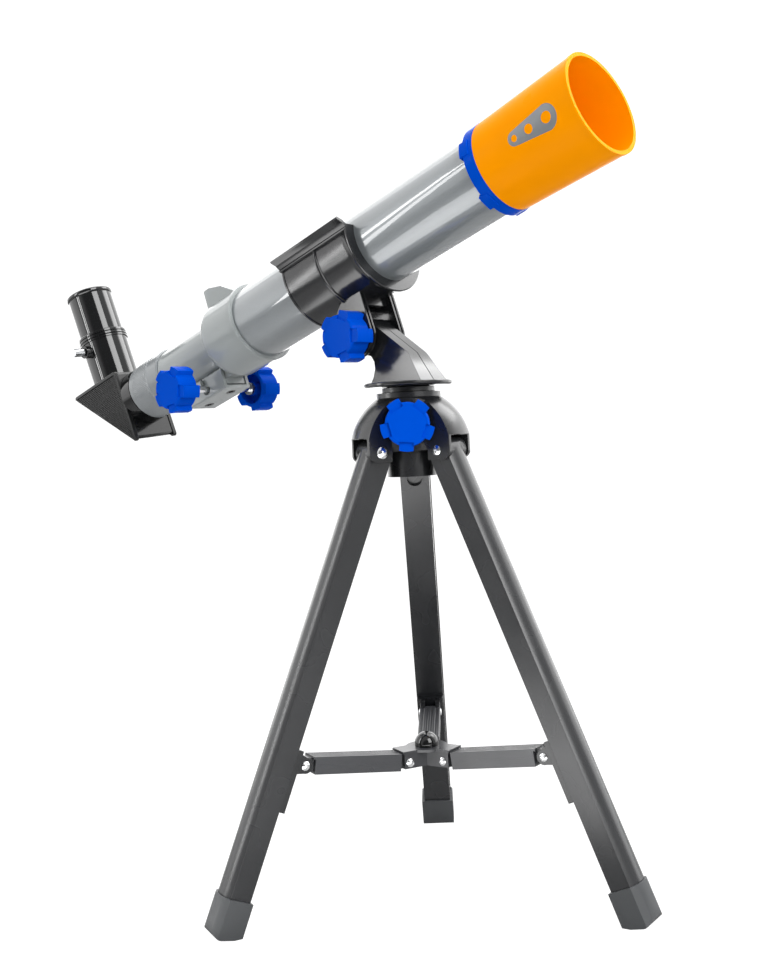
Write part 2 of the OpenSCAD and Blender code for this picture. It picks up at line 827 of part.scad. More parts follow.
module tube_cradle() {
    color("#37383a")
        at_tube()
            difference() {
                union() {
                    difference() {
                        along_tube(0) cradle_shell();
                        translate([-cradle_l, -2 * cradle_r, lip_z])
                            cube([2 * cradle_l, 4 * cradle_r, 2 * cradle_r]);
                    }
                    cradle_lip();
                    mirror([0, 1, 0]) cradle_lip();
                    pivot_plates();
                }
                along_tube(-cradle_l) cylinder(r = tube_r, h = 2 * cradle_l);
                translate([0, 0, -axis_offset])
                    rotate([90, 0, 0])
                        cylinder(r = bolt_r, h = 4 * plate_outer, center = true);
            }
}

// The rolled lip along one free edge of the cradle, with a small rail below it.
module cradle_lip() {
    profile = [[0.28, 0.65], [0.81, 1.07], [0.96, 0.9], [0.87, 0.65], [0.43, 0.22],
               [0.11, -0.42], [0.19, -0.58], [0.11, -0.78], [-0.18, -0.98]];
    root = cradle_r - tube_r + 1;
    translate([-shell_end, cradle_r, lip_z])
        rotate([90, 0, 90])
            linear_extrude(height = cradle_l)
                polygon(concat(
                    [[-root, -lip_h], [-root, 0], [-0.3, 0.3]],
                    [for (p = profile) [p[0] * lip_w, p[1] * lip_h]]));
}

// Side outline of a pivot plate about its pivot; inset is the depth of its edge groove.
function plate_outline(inset) = let (
    bow = [1, 0],
    back = [5.2, 7.9],
    back_r = 17.6,
    top = axis_offset - tube_r + 2)
    concat(
        [[bow[0] + plate_r - inset, top]],
        arc(bow, plate_r - inset, 360, 190, 24),
        arc(back, back_r - inset, 190, 97, 12),
        [[back[0] - 0.12 * back_r, top]]);

// Two plates that straddle the arm's head, with grooved edges, joined by two webs.
module pivot_plates() {
    groove_w = 1.6;
    groove_d = 1.2;
    web_t = 2;
    web_u = 17.1;
    for (side = [-1, 1])
        translate([0, side * (plate_inner + plate_t / 2), -axis_offset])
            rotate([90, 0, 0]) {
                linear_extrude(height = groove_w + cut, center = true)
                    polygon(plate_outline(groove_d));
                for (flip = [0, 1])
                    mirror([0, 0, flip])
                        translate([0, 0, groove_w / 2])
                            linear_extrude(height = (plate_t - groove_w) / 2)
                                polygon(plate_outline(0));
            }
    for (x = [-1.5, 8.5])
        translate([x, -plate_inner - cut, web_u - axis_offset])
            cube([web_t, 2 * (plate_inner + cut), axis_offset - tube_r - web_u]);
}

// ---------------------------------------------------------------- objective end
module front_ring() {
    tabs = 5;
    tab_w = 10;
    tab_l = 6;
    first_tab = -3.5;
    ring_r = hood_root_r + 0.2;
    tab_r = ring_r + 0.5;
    color("#1549c8")
        at_tube()
            difference() {
                union() {
                    along_tube(ring_x) cylinder(r = ring_r, h = ring_l);
                    intersection() {
                        along_tube(ring_x - tab_l / 3) cylinder(r = tab_r, h = tab_l);
                        for (i = [0:tabs - 1])
                            rotate([first_tab + 360 * i / tabs, 0, 0])
                                translate([ring_x - tab_l, -tab_w / 2, 0])
                                    cube([2 * tab_l, tab_w, 2 * tab_r]);
                    }
                }
                along_tube(ring_x - ring_l) cylinder(r = tube_r, h = tube_front - ring_x + ring_l);
                along_tube(ring_x) cylinder(r = hood_root_r - hood_wall, h = 2 * ring_l);
            }
}

cell_l = 12;
cell_x = tube_front - cell_l;
cell_r = tube_r - tube_wall;
cell_lip = 1.7;

module lens_cell() {
    color("#202124")
        at_tube()
            along_tube(cell_x)
                rotate_extrude()
                    polygon([[lens_r - cell_lip, 0], [cell_r, 0], [cell_r, cell_l],
                             [lens_r, cell_l], [lens_r, cell_lip], [lens_r - cell_lip, cell_lip]]);
}

lens_x = cell_x + cell_lip;
flint_edge = 3.4;
crown_edge = 2.2;
retainer_w = 1.6;

// How far a sphere of radius curve falls away at distance r from its pole.
function sag(curve, r) = curve - sqrt(curve * curve - r * r);

// Points of a spherical face from the axis out to radius edge, with its rim at height z.
function lens_face(curve, edge, z) = [for (i = [0:8])
    let (r = edge * i / 8) [r, z + sag(curve, edge) - sag(curve, r)]];

module flint_lens() {
    hollow = [for (p = lens_face(lens_curve, lens_r, 0)) [p[0], flint_edge - p[1]]];
    color("#bcd3dc", 0.6)
        at_tube()
            along_tube(lens_x)
                rotate_extrude()
                    polygon(concat([[lens_r, 0], [0, 0]], hollow));
}

module crown_lens() {
    front = lens_face(lens_curve, lens_r, flint_edge + crown_edge);
    back = [for (i = [8:-1:0]) let (p = lens_face(lens_curve, lens_r, 0)[i])
        [p[0], flint_edge - p[1]]];
    color("#cfe2ea", 0.6)
        at_tube()
            along_tube(lens_x)
                rotate_extrude()
                    polygon(concat(front, back));
}

module lens_retainer() {
    bulge = sag(lens_curve, lens_r) - sag(lens_curve, lens_r - retainer_w);
    seat = flint_edge + crown_edge + bulge;
    color("#202124")
        at_tube()
            along_tube(lens_x + seat)
                ring(lens_r - fit, lens_r - retainer_w, cell_l - cell_lip - seat);
}

// A stop inside the tube, with its spring rim towards the objective.
module light_baffle() {
    stop_r = 14;
    rim_l = 6;
    wall = 1;
    color("#202124")
        at_tube()
            along_tube(tube_front - 106)
                rotate_extrude()
                    polygon([[stop_r, 0], [cell_r, 0], [cell_r, rim_l], [cell_r - wall, rim_l],
                             [cell_r - wall, wall], [stop_r, wall]]);
}

// Hood as a cone shell; skin is how far inside the outer face its outline lies.
module hood_solid(skin) {
    along_tube(hood_x)
        rotate_extrude($fn = 96)
            polygon([[0, 0], [hood_root_r - skin, 0], [hood_mouth_r - skin - 0.3, hood_l - 3],
                     [hood_mouth_r - skin, hood_l - 2], [hood_mouth_r - skin, hood_l], [0, hood_l]]);
}

module dew_shield() {
    spigot_r = hood_root_r - hood_wall - 0.2;
    color("#ff8a0a")
        at_tube()
            difference() {
                union() {
                    hood_solid(0);
                    along_tube(tube_front) cylinder(r = spigot_r, h = hood_x - tube_front + cut);
                }
                along_tube(hood_x - ring_l) cylinder(r = spigot_r - 1.6, h = ring_l + cut);
                along_tube(hood_x)
                    cylinder(r1 = hood_root_r - hood_wall - 1.5, r2 = hood_mouth_r - hood_wall,
                             h = hood_l + 0.01, $fn = 96);
                inlay_shape();
            }
}

// The inlay's teardrop with three windows that grow towards the hood's mouth.
inlay_tilt = 5.5;
inlay_x = [28.4, 38.7, 51];
inlay_window = [1.9, 2.7, 3.2];

module inlay_outline() {
    r0 = 4.2;
    r1 = 7.4;
    polygon(concat(
        arc([inlay_x[0], 0], r0, 96, 264, 12),
        arc([inlay_x[2] - 0.6, 0], r1, -84, 84, 16)));
}

module inlay_shape() {
    intersection() {
        difference() {
            hood_solid(-0.01);
            hood_solid(inlay_t);
        }
        rotate([inlay_tilt, 0, 0])
            translate([hood_x, 0, 0])
                rotate([90, 0, 0])
                    linear_extrude(height = 2 * hood_mouth_r)
                        difference() {
                            inlay_outline();
                            for (i = [0:2])
                                translate([inlay_x[i], 0]) circle(r = inlay_window[i], $fn = 40);
                        }
    }
}

module hood_inlay() {
    color("#85898c")
        at_tube()
            intersection() {
                inlay_shape();
                hood_solid(0);
            }
}

// ---------------------------------------------------------------- focuser
floor_u = -cover_drop;
plate_u = floor_u + cover_wall;
block_u = plate_u + 1.1;
block_half = cover_half - cover_wall - 1;
block_front = cover_front - 0.6;
block_rear = cover_rear + 0.6;
screw_x = [cover_rear + 7, cover_front - 7.9];
screw_shank_r = 1.3;
screw_head_r = 3.1;
screw_sunk = 1.2;
screw_shank = 7.2;
pinion_room = pinion_r + 0.75 * tooth_m + 0.5;
rack_half = 3;
gear_room_half = rack_half + 0.6;

module focuser_housing() {
    rim = 2.2;
    shoulder = tube_rear - 13;
    color("#a3a7a8")
        at_tube()
            difference() {
                union() {
                    along_tube(0)
                        rotate_extrude($fn = 96)
                            polygon(concat(
                                [[0, neck_end], [neck_r, neck_end]],
                                [[neck_r, neck_end + 3], [neck_r - 0.4, neck_end + 5],
                                 [neck_r - 0.4, shoulder - 12]],
                                arc([housing_r - 8, shoulder - 1], 8, -70, 0, 10),
                                [[housing_r, housing_front - rim - 0.4],
                                 [housing_r + 0.6, housing_front - rim],
                                 [housing_r + 0.6, housing_front - 0.5],
                                 [housing_r, housing_front], [0, housing_front]]));
                    finder_shoe();
                    gear_block();
                }
                along_tube(tube_rear) cylinder(r = tube_r, h = -tube_rear);
                along_tube(tube_rear - 12) cylinder(r = tube_r - 3, h = 20);
                along_tube(neck_end - cut) cylinder(r = draw_r + fit, h = tube_rear - neck_end);
                rack_slot();
                across_tube(shaft_r + fit, 2 * cover_half);
                across_tube(pinion_room, 2 * gear_room_half);
                cover_screw_holes(screw_shank_r, screw_shank_r);
            }
}

// The rounded shoe for a finder, moulded on top of the housing.
module finder_shoe() {
    w = 17;
    l = 35.6;
    x0 = housing_front - 8;
    round_x = x0 - l + w / 2;
    intersection() {
        rotate([90, 0, 0])
            linear_extrude(height = w, center = true)
                polygon(concat(
                    [[x0, housing_r - 1.5], [x0 - 12.6, 35], [x0 - 24.6, 38.6]],
                    arc([x0 - l + 3.6, 35], 3.6, 80, 180, 6),
                    [[x0 - l, neck_r - 2], [x0, neck_r - 2]]));
        union() {
            translate([round_x, 0, 0]) cylinder(r = w / 2, h = 2 * housing_r);
            translate([round_x, -w / 2, 0]) cube([l, w, 2 * housing_r]);
        }
    }
}

// A cylinder across the tube on the focus shaft's line.
module across_tube(r, l) {
    translate([shaft_x, 0, -shaft_drop])
        rotate([90, 0, 0])
            cylinder(r = r, h = l, center = true);
}

// The block that carries the focus shaft, its gusset to the housing and the rack's keel.
module gear_block() {
    keel_half = gear_room_half + 1.8;
    keel_u = rack_pitch_z - tooth_m - 2;
    translate([block_rear, -block_half, block_u])
        cube([block_front - block_rear, 2 * block_half, -block_u]);
    translate([neck_end, -keel_half, keel_u])
        cube([block_rear - neck_end + cut, 2 * keel_half, -keel_u]);
    for (x = screw_x)
        translate([x, 0, plate_u]) cylinder(r = 2.4, h = block_u - plate_u + cut);
    rotate([90, 0, 0])
        linear_extrude(height = 2 * block_half, center = true)
            polygon([[block_front - cut, -14], [block_front - cut, -24.3], [block_front + 4.7, -25.2],
                     [block_front + 9.7, -25.2], [block_front + 9.7, -14]]);
}

module rack_slot() {
    deep = rack_pitch_z - tooth_m - 0.6;
    translate([neck_end - cut, -gear_room_half, deep])
        cube([tube_rear - neck_end, 2 * gear_room_half, -deep]);
}

// Holes along the cover's two screws, of radius r above the cover's plate and head_r below.
module cover_screw_holes(r, head_r) {
    for (x = screw_x)
        translate([x, 0, floor_u]) {
            cylinder(r = r, h = screw_sunk + screw_shank);
            translate([0, 0, -cut]) cylinder(r = head_r, h = screw_sunk + cut);
        }
}

// Channel that closes the gear box from below, slotted to pass over the shaft.
module gear_cover() {
    slot_r = shaft_r + 1.6;
    rim_u = -sqrt(pow(neck_r + 0.6, 2) - pow(cover_half - cover_wall, 2));
    bevel = [1.2, 1.2];
    side = [[cover_half - cover_wall, rim_u], [cover_half - bevel[0], rim_u],
            [cover_half, rim_u - bevel[1]], [cover_half, floor_u + 1], [cover_half - 1, floor_u]];
    color("#a3a7a8")
        at_tube()
            difference() {
                translate([cover_rear, 0, 0])
                    rotate([90, 0, 90])
                        linear_extrude(height = cover_front - cover_rear)
                            polygon(concat(
                                side, [for (i = [4:-1:0]) [-side[i][0], side[i][1]]],
                                [[cover_wall - cover_half, plate_u],
                                 [cover_half - cover_wall, plate_u]]));
                across_tube(slot_r, 4 * cover_half);
                translate([shaft_x - slot_r, -2 * cover_half, -shaft_drop])
                    cube([2 * slot_r, 4 * cover_half, shaft_drop]);
                across_tube(pinion_room - 0.1, 2 * gear_room_half);
                cover_screw_holes(screw_shank_r, screw_head_r + gap);
            }
}

module cover_screws() {
    color("#2b2c2e")
        at_tube()
            for (x = screw_x)
                translate([x, 0, floor_u + screw_sunk]) {
                    cylinder(r = screw_shank_r, h = screw_shank);
                    mirror([0, 0, 1]) screw_head(screw_head_r, screw_sunk - 0.1);
                }
}

module drawtube() {
    color("#8f9396")
        at_tube()
            along_tube(end_ring_x)
                ring(draw_r, bore_r, draw_front - end_ring_x);
}

module end_ring() {
    color("#a3a7a8")
        at_tube()
            difference() {
                along_tube(ring_end)
                    rotate_extrude($fn = 96)
                        polygon([[bore_r, 0], [end_ring_r - 0.4, 0], [end_ring_r, 0.4],
                                 [end_ring_r, 5], [end_ring_r - 0.35, 5.3],
                                 [end_ring_r - 0.35, 19.5], [end_ring_r - 0.1, 19.8],
                                 [end_ring_r - 0.1, end_ring_l - 1],
                                 [end_ring_r - 0.9, end_ring_l], [bore_r, end_ring_l]]);
                along_tube(end_ring_x - 8) cylinder(r = draw_r, h = 10);
            }
}

rack_front = draw_front - 4;
rack_rear = end_ring_x + 1;
rack_add = 0.65 * tooth_m;
rack_ded = 0.95 * tooth_m;
backlash = 0.14;

// A straight rack with trapezoid teeth, in line with the pinion at rest.
module rack() {
    teeth_back = floor((shaft_x - rack_rear - 2) / tooth_pitch);
    teeth_front = floor((rack_front - shaft_x - 2) / tooth_pitch);
    root_z = rack_pitch_z + rack_ded;
    tip = tooth_pitch / 4 - backlash / 2 - rack_add * tan(20);
    base = tooth_pitch / 4 - backlash / 2 + rack_ded * tan(20);
    color("#2b2c2e")
        at_tube()
            difference() {
                rotate([90, 0, 0])
                    linear_extrude(height = 2 * rack_half, center = true)
                        polygon(concat(
                            [[rack_rear, 0], [rack_rear, root_z]],
                            [for (i = [-teeth_back:teeth_front]) for (q = [0:3])
                                [shaft_x + i * tooth_pitch + [-base, -tip, tip, base][q],
                                 q == 0 || q == 3 ? root_z : rack_pitch_z - rack_add]],
                            [[rack_front, root_z], [rack_front, 0]]));
                along_tube(rack_rear - 1) cylinder(r = draw_r, h = rack_front - rack_rear + 2);
            }
}

function involute(base_r, t) = base_r * [cos(t) + t * PI / 180 * sin(t), sin(t) - t * PI / 180 * cos(t)];
function turned(p, a) = [p[0] * cos(a) - p[1] * sin(a), p[0] * sin(a) + p[1] * cos(a)];

// One flank of a pinion tooth, from root to tip, with its middle on the X axis.
function flank() = let (
    base_r = pinion_r * cos(20),
    tip_r = pinion_r + 0.75 * tooth_m,
    t_pitch = sqrt(pow(pinion_r / base_r, 2) - 1) * 180 / PI,
    t_tip = sqrt(pow(tip_r / base_r, 2) - 1) * 180 / PI,
    at_pitch = involute(base_r, t_pitch),
    half_angle = (tooth_pitch / 4 - backlash / 2) / pinion_r * 180 / PI,
    turn = -half_angle - atan2(at_pitch[1], at_pitch[0]))
    concat(
        [turned([pinion_r - 1.2 * tooth_m, 0], turn)],
        [for (i = [0:4]) turned(involute(base_r, t_tip * i / 4), turn)]);

module pinion() {
    half = flank();
    color("#d9dadb")
        at_tube()
            translate([shaft_x, 0, -shaft_drop])
                rotate([90, 0, 0])
                    linear_extrude(height = 2 * rack_half, center = true)
                        difference() {
                            polygon([for (i = [0:pinion_teeth - 1])
                                let (a = 90 + (i + 0.5) * 360 / pinion_teeth)
                                for (q = [0:11])
                                    turned(q < 6 ? half[q] : [half[11 - q][0], -half[11 - q][1]], a)]);
                            circle(r = shaft_r - shaft_step);
                        }
}

// Depth of the shaft's waist that the pinion is moulded on.
shaft_step = 0.2;

module focus_shaft() {
    grip = knob_h - 4;
    color("#c9cbcd")
        at_tube()
            difference() {
                across_tube(shaft_r, 2 * (knob_gap + grip));
                difference() {
                    across_tube(shaft_r + 1, 2 * rack_half);
                    across_tube(shaft_r - shaft_step, 4 * rack_half);
                }
            }
}

module focus_knob(side, turn) {
    at_tube()
        translate([shaft_x, side * knob_gap, -shaft_drop])
            rotate([side * -90, 0, 0])
                knob(shaft_r, knob_h - 4, turn);
}

module knob_washers() {
    washer_t = 2.4;
    color("#c9cbcd")
        at_tube()
            for (side = [-1, 1])
                translate([shaft_x, side * (knob_gap - washer_t), -shaft_drop])
                    rotate([side * -90, 0, 0])
                        ring(4.5, shaft_r, washer_t);
}

// ---------------------------------------------------------------- diagonal
cover_t = 3;
core_half = prism_half_w - cover_t;
core_inset = 0.6;

module at_diagonal() {
    at_tube() rotate([diagonal_roll, 0, 0]) children();
}

// The diagonal's triangle with rounded corners, drawn in by inset on every side.
module prism_outline(inset) {
    r = 2;
    acute = (inset + r) * (1 + sqrt(2));
    x = prism_x - inset - r;
    z = prism_top - inset - r;
    polygon(concat(
        arc([x, z], r, 0, 90, 6),
        arc([prism_x - prism_side + acute, z], r, 90, 225, 8),
        arc([x, prism_top - prism_side + acute], r, 225, 360, 8)));
}

module diagonal_body() {
    path_r = bore_r - 3;
    color("#1d1e20")
        at_diagonal()
            difference() {
                union() {
                    rotate([90, 0, 0])
                        linear_extrude(height = 2 * core_half, center = true)
                            prism_outline(core_inset);
                    along_tube(prism_x - 3) cylinder(r = core_half, h = 4);
                    along_tube(prism_x) cylinder(r = end_ring_r, h = ring_end - gap - prism_x);
                }
                light_path(path_r);
                at_mirror() mirror_plate();
            }
}

// Places children at the mirror's middle, with X away from its silvered face.
module at_mirror() {
    translate([eye_x, 0, 0]) rotate([0, -45, 0]) children();
}

// The two bores of the light path, which meet in a mitre on the mirror's face.
module light_path(r) {
    reach = 2 * prism_side;
    intersection() {
        union() {
            along_tube(eye_x - 2 * r) cylinder(r = r, h = reach);
            translate([eye_x, 0, -2 * r]) cylinder(r = r, h = reach);
        }
        at_mirror() translate([0, -reach / 2, -reach / 2]) cube(reach);
    }
}

module mirror_plate() {
    w = 27;
    l = 38;
    t = 3;
    translate([-t, -w / 2, -l / 2]) cube([t, w, l]);
}

module diagonal_mirror() {
    color("#dfe6ea")
        at_diagonal() at_mirror() mirror_plate();
}

module diagonal_covers() {
    rim = 2.2;
    sunk = 0.8;
    color("#1d1e20")
        at_diagonal()
            for (flip = [0, 1])
                mirror([0, flip, 0])
                    translate([0, -core_half, 0])
                        rotate([90, 0, 0])
                            difference() {
                                linear_extrude(height = cover_t) prism_outline(0);
                                translate([0, 0, cover_t - sunk])
                                    linear_extrude(height = 2 * sunk) prism_outline(rim);
                            }
}

// The chrome barrel that slides into the drawtube.
module diagonal_nose() {
    nose_l = 1.6 * barrel_r;
    color("#c9cbcd")
        at_diagonal()
            along_tube(ring_end - gap)
                ring(barrel_r, barrel_r - barrel_wall, nose_l);
}

barrel_wall = 1.6;

screw_z = holder_top - 12.5;
screw_r = 1.5;
boss_r = 4.6;
boss_h = 4;

// The upright sleeve with a grooved collar; its bore steps in to stop the eyepiece.
module eyepiece_holder() {
    base = prism_top - core_inset;
    top = holder_top - base;
    collar = top - 6;
    stop = 10;
    foot_r = core_half - 0.1;
    collar_steps = [[0.8, 0], [0.8, 1.2], [0.2, 1.6], [0.9, 2], [0.9, 3.4], [0.2, 3.8],
                    [0.8, 4.2], [0.8, 5.6], [0.4, 6]];
    color("#232427")
        at_diagonal()
            difference() {
                union() {
                    translate([eye_x, 0, base])
                        rotate_extrude()
                            polygon(concat(
                                [[bore_r - 2, 0], [foot_r, 0], [foot_r, core_inset],
                                 [holder_r, core_inset], [holder_r, collar]],
                                [for (p = collar_steps) [holder_r + p[0], collar + p[1]]],
                                [[bore_r, top], [bore_r, stop], [bore_r - 2, stop - 2]]));
                    translate([eye_x, -holder_r - boss_h, screw_z])
                        rotate([-90, 0, 0])
                            cylinder(r = boss_r, h = boss_h + 2);
                }
                translate([eye_x, 0, base + stop]) cylinder(r = bore_r, h = top);
                translate([eye_x, -holder_r - 2 * boss_h, screw_z])
                    rotate([-90, 0, 0])
                        cylinder(r = screw_r + fit, h = holder_r);
            }
}

// Thumbscrew with a fluted head, running in through the holder's boss.
module thumbscrew() {
    head_r = 3.1;
    head_h = 8.6;
    flutes = 12;
    stand = 1;
    tip_y = -barrel_r - gap;
    seat_y = -holder_r - boss_h - stand;
    color("#d4d6d8")
        at_diagonal()
            translate([eye_x, seat_y, screw_z])
                rotate([90, 0, 0]) {
                    translate([0, 0, seat_y - tip_y])
                        cylinder(r = screw_r, h = tip_y - seat_y + 2);
                    linear_extrude(height = head_h)
                        polygon([for (i = [0:2 * flutes - 1])
                            let (r = head_r - (i % 2) * 0.35)
                            r * [cos(i * 180 / flutes), sin(i * 180 / flutes)]]);
                }
}

// ---------------------------------------------------------------- eyepiece
module at_eyepiece() {
    at_diagonal() translate([eye_x, 0, holder_top + gap]) children();
}

cap_h = 3.4;
eyepiece_depth = 24;

module eyepiece_body() {
    inner = barrel_r - barrel_wall;
    skin = barrel_r + 0.6;
    seat = eyepiece_h - cap_h;
    color("#232427")
        at_eyepiece()
            rotate_extrude()
                polygon([[inner, -eyepiece_depth], [barrel_r, -eyepiece_depth], [barrel_r, 0],
                         [skin, 0], [skin, seat], [eye_lens_r, seat],
                         [eye_lens_r, seat - eye_lens_t - 0.6], [inner, seat - 2 * eye_lens_t]]);
}

module eyepiece_cap() {
    opening = 6.5;
    rim_r = barrel_r + 1.5;
    color("#232427")
        at_eyepiece()
            translate([0, 0, eyepiece_h - cap_h])
                rotate_extrude()
                    polygon([[opening, 0], [rim_r - 0.8, 0], [rim_r, 1], [rim_r, cap_h - 0.8],
                             [rim_r - 0.6, cap_h], [barrel_r - 0.8, cap_h],
                             [opening + 3.5, 1.4], [opening, 1.2]]);
}

eye_lens_r = 8.5;
eye_lens_t = 4;
eye_lens_curve = 30;
field_lens_t = 5;
field_lens_curve = 3 * barrel_r;

// A lens with a flat back on Z = 0 and a bulging face of radius curve.
module eyepiece_lens(r, t, curve) {
    color("#cfe2ea", 0.6)
        intersection() {
            cylinder(r = r, h = t);
            translate([0, 0, t - curve]) sphere(r = curve, $fn = 160);
        }
}

module eye_lens() {
    at_eyepiece()
        translate([0, 0, eyepiece_h - cap_h - eye_lens_t])
            eyepiece_lens(eye_lens_r, eye_lens_t, eye_lens_curve);
}

module field_lens() {
    at_eyepiece()
        translate([0, 0, 4 - eyepiece_depth])
            eyepiece_lens(barrel_r - barrel_wall, field_lens_t, field_lens_curve);
}

tripod_head();
leg(0);  // leg_1
leg(1);  // leg_2
leg(2);  // leg_3
foot(0);  // foot_1
foot(1);  // foot_2
foot(2);  // foot_3
bracket(0);  // bracket_1
bracket(1);  // bracket_2
bracket(2);  // bracket_3
leg_bolts();
bracket_bolts();
spreader_hub();
hub_bolts();
lift_ball();
spreader_arm(0);  // spreader_arm_1
spreader_arm(1);  // spreader_arm_2
spreader_arm(2);  // spreader_arm_3
azimuth_disc();
azimuth_spindle();
spindle_screw();
mount_arm();
azimuth_knob();
azimuth_screw();
altitude_bolt();
altitude_knob();
tube_cradle();
main_tube();
front_ring();
lens_cell();
crown_lens();
flint_lens();
lens_retainer();
light_baffle();
dew_shield();
hood_inlay();
focuser_housing();
gear_cover();
cover_screws();
drawtube();
end_ring();
rack();
focus_shaft();
pinion();
focus_knob(1, 22);  // focus_knob_left
focus_knob(-1, 46);  // focus_knob_right
knob_washers();
diagonal_body();
diagonal_covers();
diagonal_mirror();
diagonal_nose();
eyepiece_holder();
thumbscrew();
eyepiece_body();
eyepiece_cap();
eye_lens();
field_lens();
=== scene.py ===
import json
import math
import bmesh
import bpy
import numpy as np
from mathutils import Matrix, Vector


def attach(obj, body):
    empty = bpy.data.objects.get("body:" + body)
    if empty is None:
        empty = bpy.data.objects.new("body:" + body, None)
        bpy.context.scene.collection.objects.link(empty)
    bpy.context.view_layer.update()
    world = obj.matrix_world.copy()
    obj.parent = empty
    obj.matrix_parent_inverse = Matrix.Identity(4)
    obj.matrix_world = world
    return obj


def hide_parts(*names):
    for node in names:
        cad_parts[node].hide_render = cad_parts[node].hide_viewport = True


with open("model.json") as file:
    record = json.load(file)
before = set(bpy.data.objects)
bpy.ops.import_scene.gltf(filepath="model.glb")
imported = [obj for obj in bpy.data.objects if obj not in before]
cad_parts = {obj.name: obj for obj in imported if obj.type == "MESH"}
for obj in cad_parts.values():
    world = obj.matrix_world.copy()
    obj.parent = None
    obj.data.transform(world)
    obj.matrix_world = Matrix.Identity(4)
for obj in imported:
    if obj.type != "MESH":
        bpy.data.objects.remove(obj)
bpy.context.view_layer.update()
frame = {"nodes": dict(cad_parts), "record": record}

# ---------------------------------------------------------------- studio
# A white paper sweep under and behind the telescope, a large soft box on the right as the key
# light, a wide one overhead and two narrow strips on the left. The room is white except on the
# camera's side, where it is dim, so that glossy plastic shows dark and bright bands.
MM = 0.001
# The stand is seen turned by this much, so the studio is set out in the camera's directions.
room_turn = Matrix.Rotation(math.radians(40.855), 3, "Z")
camera_at = room_turn @ Vector((0, -0.78955, 0.28332))
middle_height = 0.28


def linear(hex_colour):
    """An sRGB hex colour as linear light."""
    parts = [int(hex_colour[i:i + 2], 16) / 255 for i in (1, 3, 5)]
    return tuple(c / 12.92 if c <= 0.04045 else ((c + 0.055) / 1.055) ** 2.4 for c in parts) + (1.0,)


def add(tree, kind, sockets=None, **settings):
    """Adds a node. Each named input is given a value, another node or one of its outputs, or a
    list of them where it takes several."""
    node = tree.nodes.new(kind)
    for key, value in settings.items():
        setattr(node, key, value)
    for key, value in (sockets or {}).items():
        for source in value if isinstance(value, list) else [value]:
            if isinstance(source, bpy.types.Node):
                source = source.outputs[0]
            if isinstance(source, bpy.types.NodeSocket):
                tree.links.new(source, node.inputs[key])
            else:
                node.inputs[key].default_value = source
    return node


def new_piece(name, mesh):
    piece = bpy.data.objects.new(name, mesh)
    bpy.context.scene.collection.objects.link(piece)
    return piece


def new_material(name):
    material = bpy.data.materials.new(name)
    material.use_nodes = True
    material.node_tree.nodes.clear()
    return material, material.node_tree


# The camera stands on the near side, a little to the objective's side of the tripod.
yaw, pitch, roll = math.radians(-1.026), math.radians(2.295), math.radians(3.017)
forward = Vector((math.sin(yaw) * math.cos(pitch), math.cos(yaw) * math.cos(pitch), -math.sin(pitch)))
level = forward.cross(Vector((0, 0, 1))).normalized()
above = level.cross(forward)
camera_right = math.cos(roll) * level - math.sin(roll) * above
camera_up = math.sin(roll) * level + math.cos(roll) * above
camera_axes = [room_turn @ v for v in (camera_right, camera_up, -forward)]
lens = bpy.data.cameras.new("camera")
lens.lens = 48.107
lens.sensor_width = 36
lens.clip_start = 0.01
camera = bpy.data.objects.new("camera", lens)
camera.matrix_world = Matrix.Translation(camera_at) @ Matrix(camera_axes).transposed().to_4x4()
bpy.context.scene.collection.objects.link(camera)
bpy.context.scene.camera = camera

# Paper: flat underfoot, then a wide bend up behind. The camera sees it as white with a faint shadow.
paper_front, bend_from, bend, paper_top, half_width = -1.2, 1.4, 0.8, 3.0, 3
paper_profile = [(paper_front, 0.0), (bend_from, 0.0)]
paper_profile += [(bend_from + bend * math.sin(math.radians(a)), bend - bend * math.cos(math.radians(a)))
                  for a in range(10, 100, 10)]
paper_profile += [(bend_from + bend, paper_top)]
paper_mesh = bpy.data.meshes.new("paper_sweep")
paper_mesh.from_pydata([room_turn @ Vector((across, along, height))
                        for along, height in paper_profile for across in (-half_width, half_width)],
                       [], [(2 * i, 2 * i + 1, 2 * i + 3, 2 * i + 2)
                            for i in range(len(paper_profile) - 1)])
paper_mesh.shade_smooth()
paper, tree = new_material("white seamless paper")
path = add(tree, "ShaderNodeLightPath")
matt = add(tree, "ShaderNodeBsdfDiffuse", {"Color": linear("#c8c8c8")})
glow = add(tree, "ShaderNodeEmission", {"Color": (1, 1, 1, 1), "Strength": 1.3})
seen = add(tree, "ShaderNodeMixShader", {"Fac": 0.8, 1: matt, 2: glow})
both = add(tree, "ShaderNodeMixShader", {"Fac": path.outputs["Is Camera Ray"], 1: matt, 2: seen})
add(tree, "ShaderNodeOutputMaterial", {"Surface": both})
paper_mesh.materials.append(paper)
new_piece("paper_sweep", paper_mesh)

